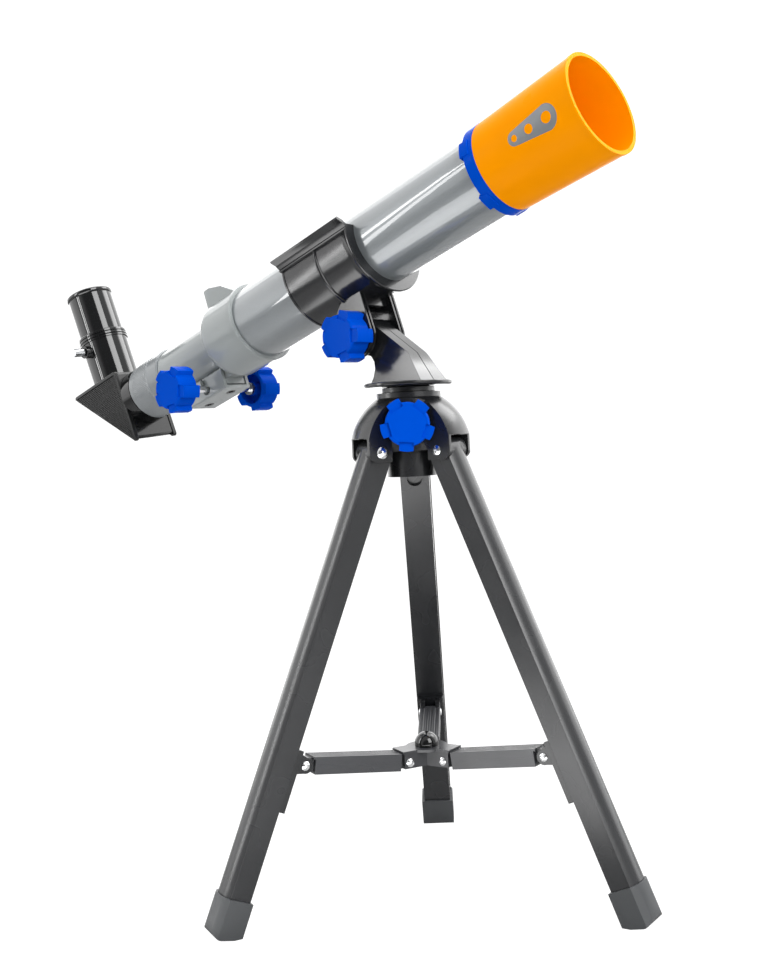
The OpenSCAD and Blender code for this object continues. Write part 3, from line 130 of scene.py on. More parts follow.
# Lamps: name, place from the camera's side (right, away, up), width, height, watts, and the
# height on the stand's middle line that each faces, or none where it faces up. The white cards
# stand round the back and sides and only show in gloss, as bright edges and broad bands.
for name, spot, wide, tall, watts, facing in (
        ("key_box", (0.73, -1.0, 0.95), 0.75, 1.1, 20.5, middle_height),
        ("left_strip", (-0.79, -0.11, 0.45), 0.045, 0.6, 1.1, middle_height),
        ("left_strip_2", (-0.76, -0.19, 0.45), 0.045, 0.6, 0.8, middle_height),
        ("overhead_box", (0.17, 0.3, 1.55), 1.5, 0.9, 15, middle_height),
        ("card_left", (-1.5, 0.5, 1.15), 1.7, 2.25, 11, 1.15),
        ("card_right", (1.5, 0.75, 1.15), 1.2, 2.25, 17, 1.15),
        ("card_behind", (0, 1.35, 1.15), 3.0, 2.25, 42, 1.15),
        ("card_rim", (1.07, 0.68, 1.3), 0.7, 0.7, 8, 0.32),
        ("card_floor", (0, -0.47, 0.004), 1.1, 0.42, 6, None)):
    data = bpy.data.lights.new(name, "AREA")
    data.shape = "RECTANGLE"
    data.size, data.size_y = wide, tall
    data.energy = watts
    lamp = bpy.data.objects.new(name, data)
    lamp.location = room_turn @ Vector(spot)
    way = Vector((0, 0, facing)) - lamp.location if facing else Vector((0, 0, 1))
    lamp.rotation_euler = way.to_track_quat("-Z", "Y").to_euler()
    lamp.visible_camera = False
    lamp.visible_diffuse = not name.startswith("card")
    bpy.context.scene.collection.objects.link(lamp)

# The room: white to the camera and in reflections, dim on the camera's own side.
world = bpy.data.worlds.new("white studio")
bpy.context.scene.world = world
world.use_nodes = True
tree = world.node_tree
tree.nodes.clear()
path = add(tree, "ShaderNodeLightPath")
bearing = add(tree, "ShaderNodeTexCoord")
toward = add(tree, "ShaderNodeVectorMath", {0: bearing.outputs["Generated"],
             1: (room_turn @ Vector((0.06, -0.998, 0)))[:]}, operation="DOT_PRODUCT")
shade = add(tree, "ShaderNodeMapRange", {"Value": toward.outputs["Value"], "From Min": 0.62,
            "From Max": 0.84, "To Min": 1.0, "To Max": 0.2}, interpolation_type="SMOOTHSTEP")
soft = add(tree, "ShaderNodeBackground", {"Color": (1, 1, 1, 1), "Strength": 0.52})
mirrored = add(tree, "ShaderNodeBackground", {"Color": (1, 1, 1, 1), "Strength": shade})
white = add(tree, "ShaderNodeBackground", {"Color": (1, 1, 1, 1), "Strength": 1.0})
shiny = add(tree, "ShaderNodeMath", {0: path.outputs["Is Glossy Ray"],
            1: path.outputs["Is Transmission Ray"]}, operation="MAXIMUM")
unseen = add(tree, "ShaderNodeMixShader", {"Fac": shiny, 1: soft, 2: mirrored})
room = add(tree, "ShaderNodeMixShader", {"Fac": path.outputs["Is Camera Ray"], 1: unseen, 2: white})
add(tree, "ShaderNodeOutputWorld", {"Surface": room})
bpy.context.scene.view_settings.view_transform = "Standard"

# ---------------------------------------------------------------- legs
# Three straight legs, each a long ABS moulding with a rounded back, hung on a bolt in the head.
# Satin from the mould: a fine grain, and slight waves where the plastic shrank as it cooled.
node_of = frame["nodes"]
body_of = {n: body for body, held in frame["record"]["behaviour"]["bodies"].items() for n in held}


def moulded_plastic(name, colour, roughness, gloss=0.5, grain=0.35, grain_deep=0.006, wave_deep=0.012):
    """Plastic, coloured all through, with sizes in mm. The waves bend its highlights and the grain
    softens them. The grain is drawn at 0.3 mm or more, as coarse as it needs to show."""
    material, tree = new_material(name)
    place = add(tree, "ShaderNodeTexCoord").outputs["Object"]
    waves = add(tree, "ShaderNodeTexNoise", {"Vector": place, "Scale": 1 / (22 * MM), "Detail": 1.0})
    pores = add(tree, "ShaderNodeTexNoise", {"Vector": place, "Scale": 1 / (grain * MM), "Detail": 2.0})
    sunk = add(tree, "ShaderNodeBump", {"Height": waves.outputs["Fac"], "Distance": wave_deep * MM,
               "Strength": 1.0})
    rough = add(tree, "ShaderNodeBump", {"Height": pores.outputs["Fac"], "Distance": grain_deep * MM,
                "Strength": 1.0, "Normal": sunk})
    polish = add(tree, "ShaderNodeMapRange", {"Value": waves.outputs["Fac"], "From Min": 0.3,
                 "From Max": 0.7, "To Min": roughness * 0.88, "To Max": roughness * 1.12})
    mottle = add(tree, "ShaderNodeMix", {"Factor": waves.outputs["Fac"], "A": linear(colour),
                 "B": tuple(c * 0.93 for c in linear(colour)[:3]) + (1.0,)}, data_type="RGBA")
    shader = add(tree, "ShaderNodeBsdfPrincipled", {"Base Color": mottle.outputs["Result"],
                 "Roughness": polish, "IOR": 1.5, "Specular IOR Level": gloss, "Normal": rough})
    add(tree, "ShaderNodeOutputMaterial", {"Surface": shader})
    return material


def keep_result(piece):
    """Turns a piece's modifiers into its plain mesh."""
    ready = piece.evaluated_get(bpy.context.evaluated_depsgraph_get())
    piece.data = bpy.data.meshes.new_from_object(ready)
    piece.modifiers.clear()


def true_normals(piece, turned_about):
    """Weights the shading by the sizes of the faces. On a face turned about one of the given axes,
    the normal at a corner then points straight out from that axis, so that no facet shows."""
    piece.data.set_sharp_from_angle(angle=math.radians(34))
    weights = piece.modifiers.new("weights", "WEIGHTED_NORMAL")
    weights.keep_sharp = True
    keep_result(piece)
    mesh = piece.data

    def table(source, field, width=3):
        values = np.empty(len(source) * width, dtype=float if width == 3 else int)
        source.foreach_get(field, values)
        return values.reshape(-1, 3) if width == 3 else values

    normals = table(mesh.corner_normals, "vector")
    face_of = np.repeat(np.arange(len(mesh.polygons)), table(mesh.polygons, "loop_total", 1))
    corners = table(mesh.vertices, "co")[table(mesh.loops, "vertex_index", 1)]
    centres, facing = table(mesh.polygons, "center"), table(mesh.polygons, "normal")
    for point, axis in turned_about:
        axis = np.array(axis)

        def outward(spots):
            away = spots - np.array(point)
            away -= np.outer(away @ axis, axis)
            return away / np.maximum(np.linalg.norm(away, axis=1), 1e-9)[:, None]

        # A face is turned about the axis if it doesn't lean sideways and isn't a flat end. Its
        # corners have to lie on the same side of the axis as its middle.
        most_sideways, flat_end, same_side = 0.02, 0.97, 0.8
        middle = outward(centres)
        sideways = np.abs(np.einsum("ij,ij->i", facing, np.cross(axis, middle)))
        turned = (sideways < most_sideways) & (np.abs(facing @ axis) < flat_end)
        out = outward(corners)
        near = turned[face_of] & (np.einsum("ij,ij->i", out, middle[face_of]) > same_side)
        lean = normals @ axis
        way = np.sign(np.einsum("ij,ij->i", facing, middle))[face_of]
        true = np.outer(lean, axis) + out * (way * np.sqrt(np.maximum(0, 1 - lean * lean)))[:, None]
        normals = np.where(near[:, None], true, normals)
    mesh.normals_split_custom_set(normals.tolist())


def moulded(name, finish, edge, turned_about=()):
    """A copy of a sub-part with its points joined and its sharp edges broken to an edge in mm."""
    shell = bmesh.new()
    shell.from_mesh(node_of[name].data)
    bmesh.ops.remove_doubles(shell, verts=shell.verts, dist=1e-6)
    bmesh.ops.dissolve_limit(shell, angle_limit=math.radians(0.4), verts=shell.verts, edges=shell.edges)
    mesh = bpy.data.meshes.new(name + "_moulding")
    shell.to_mesh(mesh)
    shell.free()
    mesh.shade_smooth()
    piece = new_piece(name + "_moulding", mesh)
    if edge:
        edges = piece.modifiers.new("broken edges", "BEVEL")
        edges.width = edge * MM
        edges.segments = 3
        edges.limit_method = "ANGLE"
        edges.angle_limit = math.radians(35)
        keep_result(piece)
    true_normals(piece, turned_about)
    piece.data.materials.clear()
    piece.data.materials.append(finish)
    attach(piece, body_of[name])
    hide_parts(name)


leg_abs = moulded_plastic("satin moulded ABS, charcoal legs", "#232426", 0.26)
for name in ("leg_1", "leg_2", "leg_3"):
    moulded(name, leg_abs, 0.4)

# ---------------------------------------------------------------- feet
# Thermoplastic rubber caps pushed over the legs' ends. Softer and duller than the legs, with
# rounded edges and a dry, slightly dusty grain.
foot_rubber = moulded_plastic("moulded TPR rubber", "#434547", 0.5, gloss=0.4, grain=0.3,
                              grain_deep=0.012, wave_deep=0.02)
for name in ("foot_1", "foot_2", "foot_3"):
    moulded(name, foot_rubber, 0.8)

# ---------------------------------------------------------------- leg brackets
# A moulded block screwed to each leg's inner face, with two ears that hold the spreader's pin.
# The same satin ABS as the head, a little darker than the legs.
head_abs = moulded_plastic("satin moulded ABS, charcoal", "#1a1b1d", 0.26)
for name in ("bracket_1", "bracket_2", "bracket_3"):
    moulded(name, head_abs, 0.35)

# ---------------------------------------------------------------- bolts and pins
# Nickel-plated screws through every joint of the tripod: a domed head at one end and a cross
# recess at the other. Bright, so each shows the white room with a dark spot.
hinges = {joint["name"]: joint for joint in frame["record"]["behaviour"]["joints"]}
arm_hinges = [hinges["arm_%d_fold" % k] for k in (1, 2, 3)]
leg_bearings = [math.atan2(-hinge["axis"][0], hinge["axis"][1]) for hinge in arm_hinges]
hub_pivot_r = math.hypot(*arm_hinges[0]["pos_m"][:2]) / MM
hub_pivot_z = arm_hinges[0]["pos_m"][2] / MM
leg_splay, leg_pivot_r, leg_pivot_z = math.radians(22.9), 25.5, 270.7
brace_pivot_z, brace_inward = 90.8, 16.5
along_leg = (leg_pivot_z - brace_pivot_z - brace_inward * math.sin(leg_splay)) / math.cos(leg_splay)
brace_pivot_r = leg_pivot_r + along_leg * math.sin(leg_splay) - brace_inward * math.cos(leg_splay)


def plated(name, colour, roughness):
    """Bright plating, with the faint unevenness that a plating bath leaves in its mirror image."""
    material, tree = new_material(name)
    place = add(tree, "ShaderNodeTexCoord").outputs["Object"]
    film = add(tree, "ShaderNodeTexNoise", {"Vector": place, "Scale": 1 / (1.5 * MM), "Detail": 3.0})
    polish = add(tree, "ShaderNodeMapRange", {"Value": film.outputs["Fac"], "To Min": roughness * 0.7,
                 "To Max": roughness * 1.3})
    shader = add(tree, "ShaderNodeBsdfPrincipled", {"Base Color": linear(colour), "Metallic": 1.0,
                 "Roughness": polish})
    add(tree, "ShaderNodeOutputMaterial", {"Surface": shader})
    return material


def new_recipe(title, sockets):
    """Starts a geometry tree with the named inputs and one geometry output."""
    tree = bpy.data.node_groups.new(title, "GeometryNodeTree")
    for name, kind in sockets.items():
        tree.interface.new_socket(name, in_out="INPUT", socket_type=kind)
    tree.interface.new_socket("Geometry", in_out="OUTPUT", socket_type="NodeSocketGeometry")
    given = add(tree, "NodeGroupInput").outputs
    return tree, {name: given[name] for name in sockets}


def finish_recipe(tree, shape, finish):
    """Ends a geometry tree with real geometry in one material."""
    real = add(tree, "GeometryNodeRealizeInstances", {"Geometry": shape})
    coated = add(tree, "GeometryNodeSetMaterial", {"Geometry": real, "Material": finish})
    add(tree, "NodeGroupOutput", {"Geometry": coated})


def cook(name, tree, values, mesh=None):
    """Runs a geometry tree once and keeps what it makes as a plain mesh."""
    piece = new_piece(name, mesh or bpy.data.meshes.new(name))
    recipe = piece.modifiers.new("recipe", "NODES")
    recipe.node_group = tree
    for item in tree.interface.items_tree:
        if item.in_out == "INPUT" and item.name in values:
            recipe[item.identifier] = values[item.name]
    keep_result(piece)
    piece.data.shade_smooth()
    piece.data.set_sharp_from_angle(angle=math.radians(35))
    return piece


bolt_tree, size = new_recipe("cross-head bolt", {
    "Places": "NodeSocketGeometry", "Shank Radius": "NodeSocketFloat", "Half Length": "NodeSocketFloat",
    "Dome Radius": "NodeSocketFloat", "Head Radius": "NodeSocketFloat",
    "Head Height": "NodeSocketFloat", "Finish": "NodeSocketMaterial"})
# The domed end is a blank cut by a ball. The head is a flat pan cut by a wide bowl, with two
# crossed wings cut out of it.
for name, operation, *terms in (
        ("shank length", "MULTIPLY", "Half Length", 2.0),
        ("blank depth", "MULTIPLY", "Head Height", 1.4),
        ("blank z", "MULTIPLY_ADD", "Head Height", 0.7, "Half Length"),
        ("crest z", "MULTIPLY_ADD", "Head Height", 1.4, "Half Length"),
        ("ball radius", "MULTIPLY", "Dome Radius", 1.25),
        ("ball z", "MULTIPLY_ADD", "Dome Radius", -1.25, "crest z"),
        ("under head z", "MULTIPLY", "Half Length", -1.0),
        ("pan z", "MULTIPLY_ADD", "Head Height", -0.5, "under head z"),
        ("end z", "MULTIPLY_ADD", "Head Height", -1.0, "under head z"),
        ("bowl radius", "MULTIPLY", "Head Radius", 1.7),
        ("bowl z", "ADD", "end z", "bowl radius"),
        ("wing length", "MULTIPLY", "Head Radius", 1.25),
        ("wing width", "MULTIPLY", "Head Radius", 0.3),
        ("wing depth", "MULTIPLY", "Head Height", 1.3)):
    size[name] = add(bolt_tree, "ShaderNodeMath", {i: size.get(t, t) for i, t in enumerate(terms)},
                     operation=operation)
wing_sizes = [add(bolt_tree, "ShaderNodeCombineXYZ", {"X": size[x], "Y": size[y],
              "Z": size["wing depth"]})
              for x, y in (("wing length", "wing width"), ("wing width", "wing length"))]
placed = []
for kind, height, sockets in (
        ("Cylinder", "blank z", {"Vertices": 64, "Radius": size["Dome Radius"],
                                 "Depth": size["blank depth"]}),
        ("UVSphere", "ball z", {"Segments": 64, "Rings": 48, "Radius": size["ball radius"]}),
        ("Cylinder", "pan z", {"Vertices": 64, "Radius": size["Head Radius"],
                               "Depth": size["Head Height"]}),
        ("UVSphere", "bowl z", {"Segments": 64, "Rings": 48, "Radius": size["bowl radius"]}),
        ("Cube", "end z", {"Size": wing_sizes[0]}),
        ("Cube", "end z", {"Size": wing_sizes[1]})):
    shape = add(bolt_tree, "GeometryNodeMesh" + kind, sockets)
    spot = add(bolt_tree, "ShaderNodeCombineXYZ", {"Z": size[height]})
    placed.append(add(bolt_tree, "GeometryNodeTransform", {"Geometry": shape, "Translation": spot}))
blank, ball, pan, bowl, *wings = placed
dome = add(bolt_tree, "GeometryNodeMeshBoolean", {"Mesh 2": [blank, ball]}, operation="INTERSECT")
head = add(bolt_tree, "GeometryNodeMeshBoolean", {"Mesh 2": [pan, bowl]}, operation="INTERSECT")
driven = add(bolt_tree, "GeometryNodeMeshBoolean", {"Mesh 1": head, "Mesh 2": wings},
             operation="DIFFERENCE")
shank = add(bolt_tree, "GeometryNodeMeshCylinder", {"Vertices": 32, "Radius": size["Shank Radius"],
            "Depth": size["shank length"]})
whole = add(bolt_tree, "GeometryNodeJoinGeometry", {"Geometry": [shank, dome, driven]})
aim = add(bolt_tree, "GeometryNodeInputNamedAttribute", {"Name": "aim"}, data_type="FLOAT_VECTOR")
turned = add(bolt_tree, "FunctionNodeAlignRotationToVector", {"Vector": aim}, axis="Z")
bolts = add(bolt_tree, "GeometryNodeInstanceOnPoints", {"Points": size["Places"], "Instance": whole,
            "Rotation": turned})
finish_recipe(bolt_tree, bolts, size["Finish"])

nickel = plated("bright nickel plate", "#e4e5e6", 0.2)
for name, reach, height, shank_r, half, dome_r, head_r, head_tall in (
        ("leg_bolts", leg_pivot_r, leg_pivot_z, 2.4, 12.4, 3.7, 2.9, 1.4),
        ("bracket_bolts", brace_pivot_r, brace_pivot_z, 1.6, 6.65, 2.8, 2.5, 1.1),
        ("hub_bolts", hub_pivot_r, hub_pivot_z, 1.6, 6.65, 2.8, 2.5, 1.1)):
    spots = bpy.data.meshes.new(name + "_spots")
    spots.from_pydata([Vector((reach * math.cos(a), reach * math.sin(a), height)) * MM
                       for a in leg_bearings], [], [])
    aims = spots.attributes.new("aim", "FLOAT_VECTOR", "POINT")
    for k, a in enumerate(leg_bearings):
        aims.data[k].vector = (-math.sin(a), math.cos(a), 0)
    set_of = cook(name + "_plated", bolt_tree, {"Shank Radius": shank_r * MM, "Half Length": half * MM,
                  "Dome Radius": dome_r * MM, "Head Radius": head_r * MM,
                  "Head Height": head_tall * MM, "Finish": nickel}, spots)
    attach(set_of, body_of[name])
    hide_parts(name)

# ---------------------------------------------------------------- spreader
# A lift hub with three hinged arms, which press the legs apart. Satin ABS; each arm's top is
# ribbed along its length, and a parting line of the mould runs along the middle of its sides.
arm_abs = moulded_plastic("satin moulded ABS, spreader", "#3c3d40", 0.3)
for name in ("spreader_arm_1", "spreader_arm_2", "spreader_arm_3"):
    moulded(name, arm_abs, 0.22)
moulded("spreader_hub", moulded_plastic("satin moulded ABS, hub", "#343538", 0.3), 0.35)
moulded("lift_ball", moulded_plastic("polished moulded ABS, black", "#0b0c0d", 0.08, grain=0.5,
                                     grain_deep=0.001), 0.0)

arm_span = math.hypot(brace_pivot_r - hub_pivot_r, brace_pivot_z - hub_pivot_z)
arm_tilt = math.atan2(brace_pivot_z - hub_pivot_z, brace_pivot_r - hub_pivot_r)
arm_side, line_shorter, line_proud, line_tall, line_edge = 6.76, 13.4, 0.12, 0.3, 0.04
for k, a in enumerate(leg_bearings, 1):
    line = bmesh.new()
    for side in (-1, 1):
        bmesh.ops.create_cube(line, size=1, matrix=Matrix.Translation((arm_span / 2, side * arm_side, 0))
                              @ Matrix.Diagonal((arm_span - line_shorter, line_proud, line_tall, 1)))
    bmesh.ops.bevel(line, geom=line.edges[:], offset=line_edge, segments=2, affect="EDGES")
    at_arm = (Matrix.Rotation(a, 4, "Z") @ Matrix.Translation((hub_pivot_r, 0, hub_pivot_z))
              @ Matrix.Rotation(-arm_tilt, 4, "Y"))
    bmesh.ops.transform(line, verts=line.verts, matrix=Matrix.Scale(MM, 4) @ at_arm)
    mesh = bpy.data.meshes.new("arm_parting_line_%d" % k)
    line.to_mesh(mesh)
    line.free()
    mesh.materials.append(arm_abs)
    seam = new_piece(mesh.name, mesh)
    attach(seam, "arm_%d" % k)

# ---------------------------------------------------------------- tripod head
# One ABS moulding: a dome with three sockets for the legs and a bored column for the spindle.
# Its parting line and edges are softened by the mould; the surface is satin.
upright = (Vector((0, 0, 0)), Vector((0, 0, 1)))
moulded("tripod_head", head_abs, 0.5, [upright])

# ---------------------------------------------------------------- turntable and mount arm
# A flanged disc that turns on the head, held by a screw from below, with the ABS arm that carries
# the tube standing on it. Glossier than the head: its flat ridge mirrors the room.
tube_pivot = Vector(hinges["altitude_tilt"]["pos_m"])
across_tube = Vector((0, 1, 0))
tube_forward = -Vector(hinges["focus_slide"]["axis"])
tube_up = tube_forward.cross(across_tube)
axis_above_pivot = 49.4
tube_frame = Matrix.Translation(tube_pivot + tube_up * axis_above_pivot * MM) @ Matrix(
    (tube_forward, across_tube, tube_up)).transposed().to_4x4()
along_tube = (tube_frame.translation, tube_forward)
at_pivot = (tube_pivot, across_tube)

mount_abs = moulded_plastic("polished moulded ABS, dark grey", "#1b1c1e", 0.17, grain=0.5,
                            grain_deep=0.003)
moulded("azimuth_disc", mount_abs, 0.2, [upright])
moulded("azimuth_spindle", head_abs, 0.3, [upright])
moulded("mount_arm", mount_abs, 0.6, [upright, at_pivot])
zinc = plated("bright zinc plate", "#c3c6c9", 0.24)
for name in ("spindle_screw", "azimuth_screw", "altitude_bolt"):
    moulded(name, zinc, 0.15)

# ---------------------------------------------------------------- knobs
# Four clamp and focus knobs from one mould: six lobes, a notched face, hollow at the back.
# Royal blue ABS with hardly any sheen, so that the blue stays deep on every lobe.
knob_abs = moulded_plastic("moulded ABS, royal blue", "#0049c2", 0.16, gloss=0.01, grain=0.5,
                           grain_deep=0.002, wave_deep=0.01)
for name in ("azimuth_knob", "altitude_knob", "focus_knob_left", "focus_knob_right"):
    moulded(name, knob_abs, 0.45)

# ---------------------------------------------------------------- tube cradle
# The open shell that the tube is screwed to, with rolled lips and two grooved pivot plates.
# Same polished ABS as the arm.
moulded("tube_cradle", mount_abs, 0.4, [along_tube, at_pivot])

# ---------------------------------------------------------------- main tube
# A rolled aluminium tube, sprayed silver-grey and cleared. The clear coat mirrors the room with
# sharp edges over the softer glow of the paint's metal flake, and ripples like orange peel.
lacquer, tree = new_material("silver-grey lacquer on aluminium tube")
place = add(tree, "ShaderNodeTexCoord").outputs["Object"]
peel = add(tree, "ShaderNodeTexNoise", {"Vector": place, "Scale": 1 / (1.6 * MM), "Detail": 1.0})
sags = add(tree, "ShaderNodeTexNoise", {"Vector": place, "Scale": 1 / (30 * MM), "Detail": 1.0})
rippled = add(tree, "ShaderNodeBump", {"Height": peel.outputs["Fac"], "Distance": 0.002 * MM,
              "Strength": 1.0})
sagged = add(tree, "ShaderNodeBump", {"Height": sags.outputs["Fac"], "Distance": 0.03 * MM,
             "Strength": 1.0, "Normal": rippled})
# Flake is far too fine to show, so it is drawn at 0.25 mm and kept faint.
flake = add(tree, "ShaderNodeTexNoise", {"Vector": place, "Scale": 1 / (0.25 * MM), "Detail": 0.0})
silver = add(tree, "ShaderNodeMix", {"Factor": flake.outputs["Fac"], "A": linear("#6d7274"),
             "B": linear("#7a7f82")}, data_type="RGBA")
paint = add(tree, "ShaderNodeBsdfPrincipled", {"Base Color": silver.outputs["Result"],
            "Metallic": 0.15, "Roughness": 0.35, "Coat Weight": 1.0, "Coat Roughness": 0.03,
            "Coat IOR": 1.5, "Coat Normal": sagged})
add(tree, "ShaderNodeOutputMaterial", {"Surface": paint})
moulded("main_tube", lacquer, 0.15, [along_tube])

# ---------------------------------------------------------------- objective
# A blue ring clips on the tube's front with five tabs; behind it a matt black cell, which keeps
# stray light down, holds the two lenses with their thin violet anti-reflection coating.
moulded("front_ring", knob_abs, 0.3, [along_tube])
cell_black = moulded_plastic("matt moulded ABS, black", "#141516", 0.6, gloss=0.4, grain=0.3,
                             grain_deep=0.008)
for name in ("lens_cell", "lens_retainer", "light_baffle"):
    moulded(name, cell_black, 0.15, [along_tube])


def optical_glass(name, ior, film_nm):
    """Clear glass with one coating layer, which tints its mirror image."""
    material, tree = new_material(name)
    shader = add(tree, "ShaderNodeBsdfPrincipled", {"Base Color": linear("#f4fafa"), "Roughness": 0.0,
                 "IOR": ior, "Transmission Weight": 1.0, "Thin Film Thickness": film_nm,
                 "Thin Film IOR": 1.38})
    add(tree, "ShaderNodeOutputMaterial", {"Surface": shader})
    return material


crown = optical_glass("coated crown glass", 1.52, 120.0)
moulded("crown_lens", crown, 0.0)
moulded("flint_lens", optical_glass("coated flint glass", 1.62, 120.0), 0.0)

# ---------------------------------------------------------------- hood
# A flared dew shield in orange ABS, pushed into the ring, with a satin grey inlay set in its
# side. It has hardly any sheen, and the inside glows a redder orange by its own reflected light.
hood_abs = moulded_plastic("moulded ABS, orange", "#ff9b00", 0.3, gloss=0.01, grain=0.5,
                           grain_deep=0.002, wave_deep=0.006)
moulded("dew_shield", hood_abs, 0.5, [along_tube])
moulded("hood_inlay", moulded_plastic("satin moulded ABS, grey", "#73777a", 0.32), 0.12)

# ---------------------------------------------------------------- focuser housing
# Two light grey ABS mouldings: the stepped housing that plugs the tube, and the gear cover held
# under it by two dark cross-head screws. Glossy, with faint flow waves.
housing_abs = moulded_plastic("glossy moulded ABS, light grey", "#949999", 0.14, grain=0.5,
                              grain_deep=0.002, wave_deep=0.02)
moulded("focuser_housing", housing_abs, 0.4, [along_tube])
moulded("gear_cover", housing_abs, 0.4)
moulded("cover_screws", plated("black zinc plate", "#131415", 0.3), 0.1)

# ---------------------------------------------------------------- drawtube and knurled end ring
# The drawtube is lacquered like the main tube and carries a rack below; the rack and its pinion
# are dull black acetal. The satin grey end ring has a band of diamond knurling, which is drawn
# at 2 mm pitch, as coarse as it needs to show.
moulded("drawtube", lacquer, 0.15, [along_tube])
acetal = moulded_plastic("moulded acetal, black", "#18191a", 0.4, gloss=0.45)
for name in ("rack", "pinion"):
    moulded(name, acetal, 0.0)
ring_abs = moulded_plastic("satin moulded ABS, mid grey", "#84888a", 0.24)
moulded("end_ring", ring_abs, 0.3, [along_tube])

knurl_tree, size = new_recipe("diamond knurl sleeve", {
    "Outer Radius": "NodeSocketFloat", "Depth": "NodeSocketFloat", "Start": "NodeSocketFloat",
    "Length": "NodeSocketFloat", "Around": "NodeSocketInt", "Along": "NodeSocketInt",
    "Wall": "NodeSocketFloat", "Finish": "NodeSocketMaterial"})
where = add(knurl_tree, "ShaderNodeSeparateXYZ", {"Vector": add(knurl_tree,
            "GeometryNodeInputPosition")})
size.update({"x": where.outputs["X"], "y": where.outputs["Y"]})
# A flat sheet of rows is wrapped round the tube. Its first and last rows are the inner wall, and
# the next ones in lie sunk at the ends of the band.
for name, operation, *terms in (
        ("columns", "MULTIPLY_ADD", "Around", 4.0, 1.0),
        ("rows", "MULTIPLY_ADD", "Along", 4.0, 4.0),
        ("last row", "SUBTRACT", "rows", 1.0),
        ("part round", "ADD", "x", 0.5),
        ("part up", "ADD", "y", 0.5),
        ("exact row", "MULTIPLY", "part up", "last row"),
        ("row", "ROUND", "exact row"),
        ("rows left", "SUBTRACT", "last row", "row"),
        ("rows to end", "MINIMUM", "row", "rows left"),
        ("inner", "LESS_THAN", "rows to end", 0.5),
        ("edge", "LESS_THAN", "rows to end", 1.5),
        ("band rows", "SUBTRACT", "last row", 2.0),
        ("rows past edge", "SUBTRACT", "row", 1.0),
        ("not before", "MAXIMUM", "rows past edge", 0.0),
        ("not beyond", "MINIMUM", "not before", "band rows"),
        ("part along", "DIVIDE", "not beyond", "band rows"),
        ("turns", "MULTIPLY", "part round", "Around"),
        ("steps", "MULTIPLY", "part along", "Along"),
        ("right-hand", "ADD", "turns", "steps"),
        ("left-hand", "SUBTRACT", "turns", "steps"),
        ("left-hand up", "ADD", "left-hand", "Along"),
        ("ridge one", "PINGPONG", "right-hand", 0.5),
        ("ridge two", "PINGPONG", "left-hand up", 0.5),
        ("lower ridge", "MINIMUM", "ridge one", "ridge two"),
        ("diamond", "MULTIPLY", "lower ridge", 2.0),
        ("in band", "SUBTRACT", 1.0, "edge"),
        ("proud", "MULTIPLY", "diamond", "in band"),
        ("sunk", "SUBTRACT", 1.0, "proud"),
        ("groove", "MULTIPLY", "Depth", "sunk"),
        ("outside", "SUBTRACT", "Outer Radius", "groove"),
        ("wall", "MULTIPLY", "inner", "Wall"),
        ("radius", "SUBTRACT", "outside", "wall"),
        ("angle", "MULTIPLY", "part round", 2 * math.pi),
        ("cosine", "COSINE", "angle"),
        ("sine", "SINE", "angle"),
        ("X", "MULTIPLY_ADD", "part along", "Length", "Start"),
        ("Y", "MULTIPLY", "radius", "cosine"),
        ("Z", "MULTIPLY", "radius", "sine")):
    size[name] = add(knurl_tree, "ShaderNodeMath", {i: size.get(t, t) for i, t in enumerate(terms)},
                     operation=operation)
sheet = add(knurl_tree, "GeometryNodeMeshGrid", {"Size X": 1.0, "Size Y": 1.0,
            "Vertices X": size["columns"], "Vertices Y": size["rows"]})
spot = add(knurl_tree, "ShaderNodeCombineXYZ", {axis: size[axis] for axis in "XYZ"})
wrapped = add(knurl_tree, "GeometryNodeSetPosition", {"Geometry": sheet, "Position": spot})
closed = add(knurl_tree, "GeometryNodeMergeByDistance", {"Geometry": wrapped, "Distance": 0.001 * MM})
finish_recipe(knurl_tree, closed, size["Finish"])

knurl = cook("end_ring_knurl", knurl_tree, {"Outer Radius": 20.75 * MM, "Depth": 0.5 * MM,
             "Start": -213.6 * MM, "Length": 17.6 * MM, "Around": 64, "Along": 9,
             "Wall": 0.9 * MM, "Finish": ring_abs})
# The inner wall's two rims are still open; a strip of faces joins them.
sleeve = bmesh.new()
sleeve.from_mesh(knurl.data)
bmesh.ops.bridge_loops(sleeve, edges=[e for e in sleeve.edges if e.is_boundary])
bmesh.ops.recalc_face_normals(sleeve, faces=sleeve.faces)
sleeve.transform(tube_frame)
sleeve.to_mesh(knurl.data)
sleeve.free()
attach(knurl, "drawtube")

# ---------------------------------------------------------------- focus shaft
# A turned steel shaft with bright nickel plate, and a duller nickel washer behind each knob.
moulded("focus_shaft", nickel, 0.1)
moulded("knob_washers", plated("dull nickel plate", "#a9abad", 0.28), 0.15)

# ---------------------------------------------------------------- diagonal
# A right-angled prism housing in polished black ABS. Each side is a cover with a smooth bead along
# its two short edges; inside the bead it has a moulded grain of rounded, staggered dashes, which
# glint on the duller ground. The grain is drawn coarser than the real one, so that it shows.
eyepiece_up = Vector(hinges["eyepiece_slide"]["axis"])
across_diagonal = eyepiece_up.cross(tube_forward)
diagonal_frame = Matrix.Translation(tube_frame.translation) @ Matrix(
    (tube_forward, across_diagonal, eyepiece_up)).transposed().to_4x4()
prism_x, prism_top, prism_side = -228.0, 22.0, 57.0
diagonal_abs = moulded_plastic("polished moulded ABS, black", "#0d0e0f", 0.1, grain=0.5,
                               grain_deep=0.002, wave_deep=0.01)
moulded("diagonal_body", diagonal_abs, 0.5, [along_tube])
silvering, tree = new_material("front-silvered mirror")
mirror = add(tree, "ShaderNodeBsdfPrincipled", {"Base Color": linear("#eef1f2"), "Metallic": 1.0,
             "Roughness": 0.02})
add(tree, "ShaderNodeOutputMaterial", {"Surface": mirror})
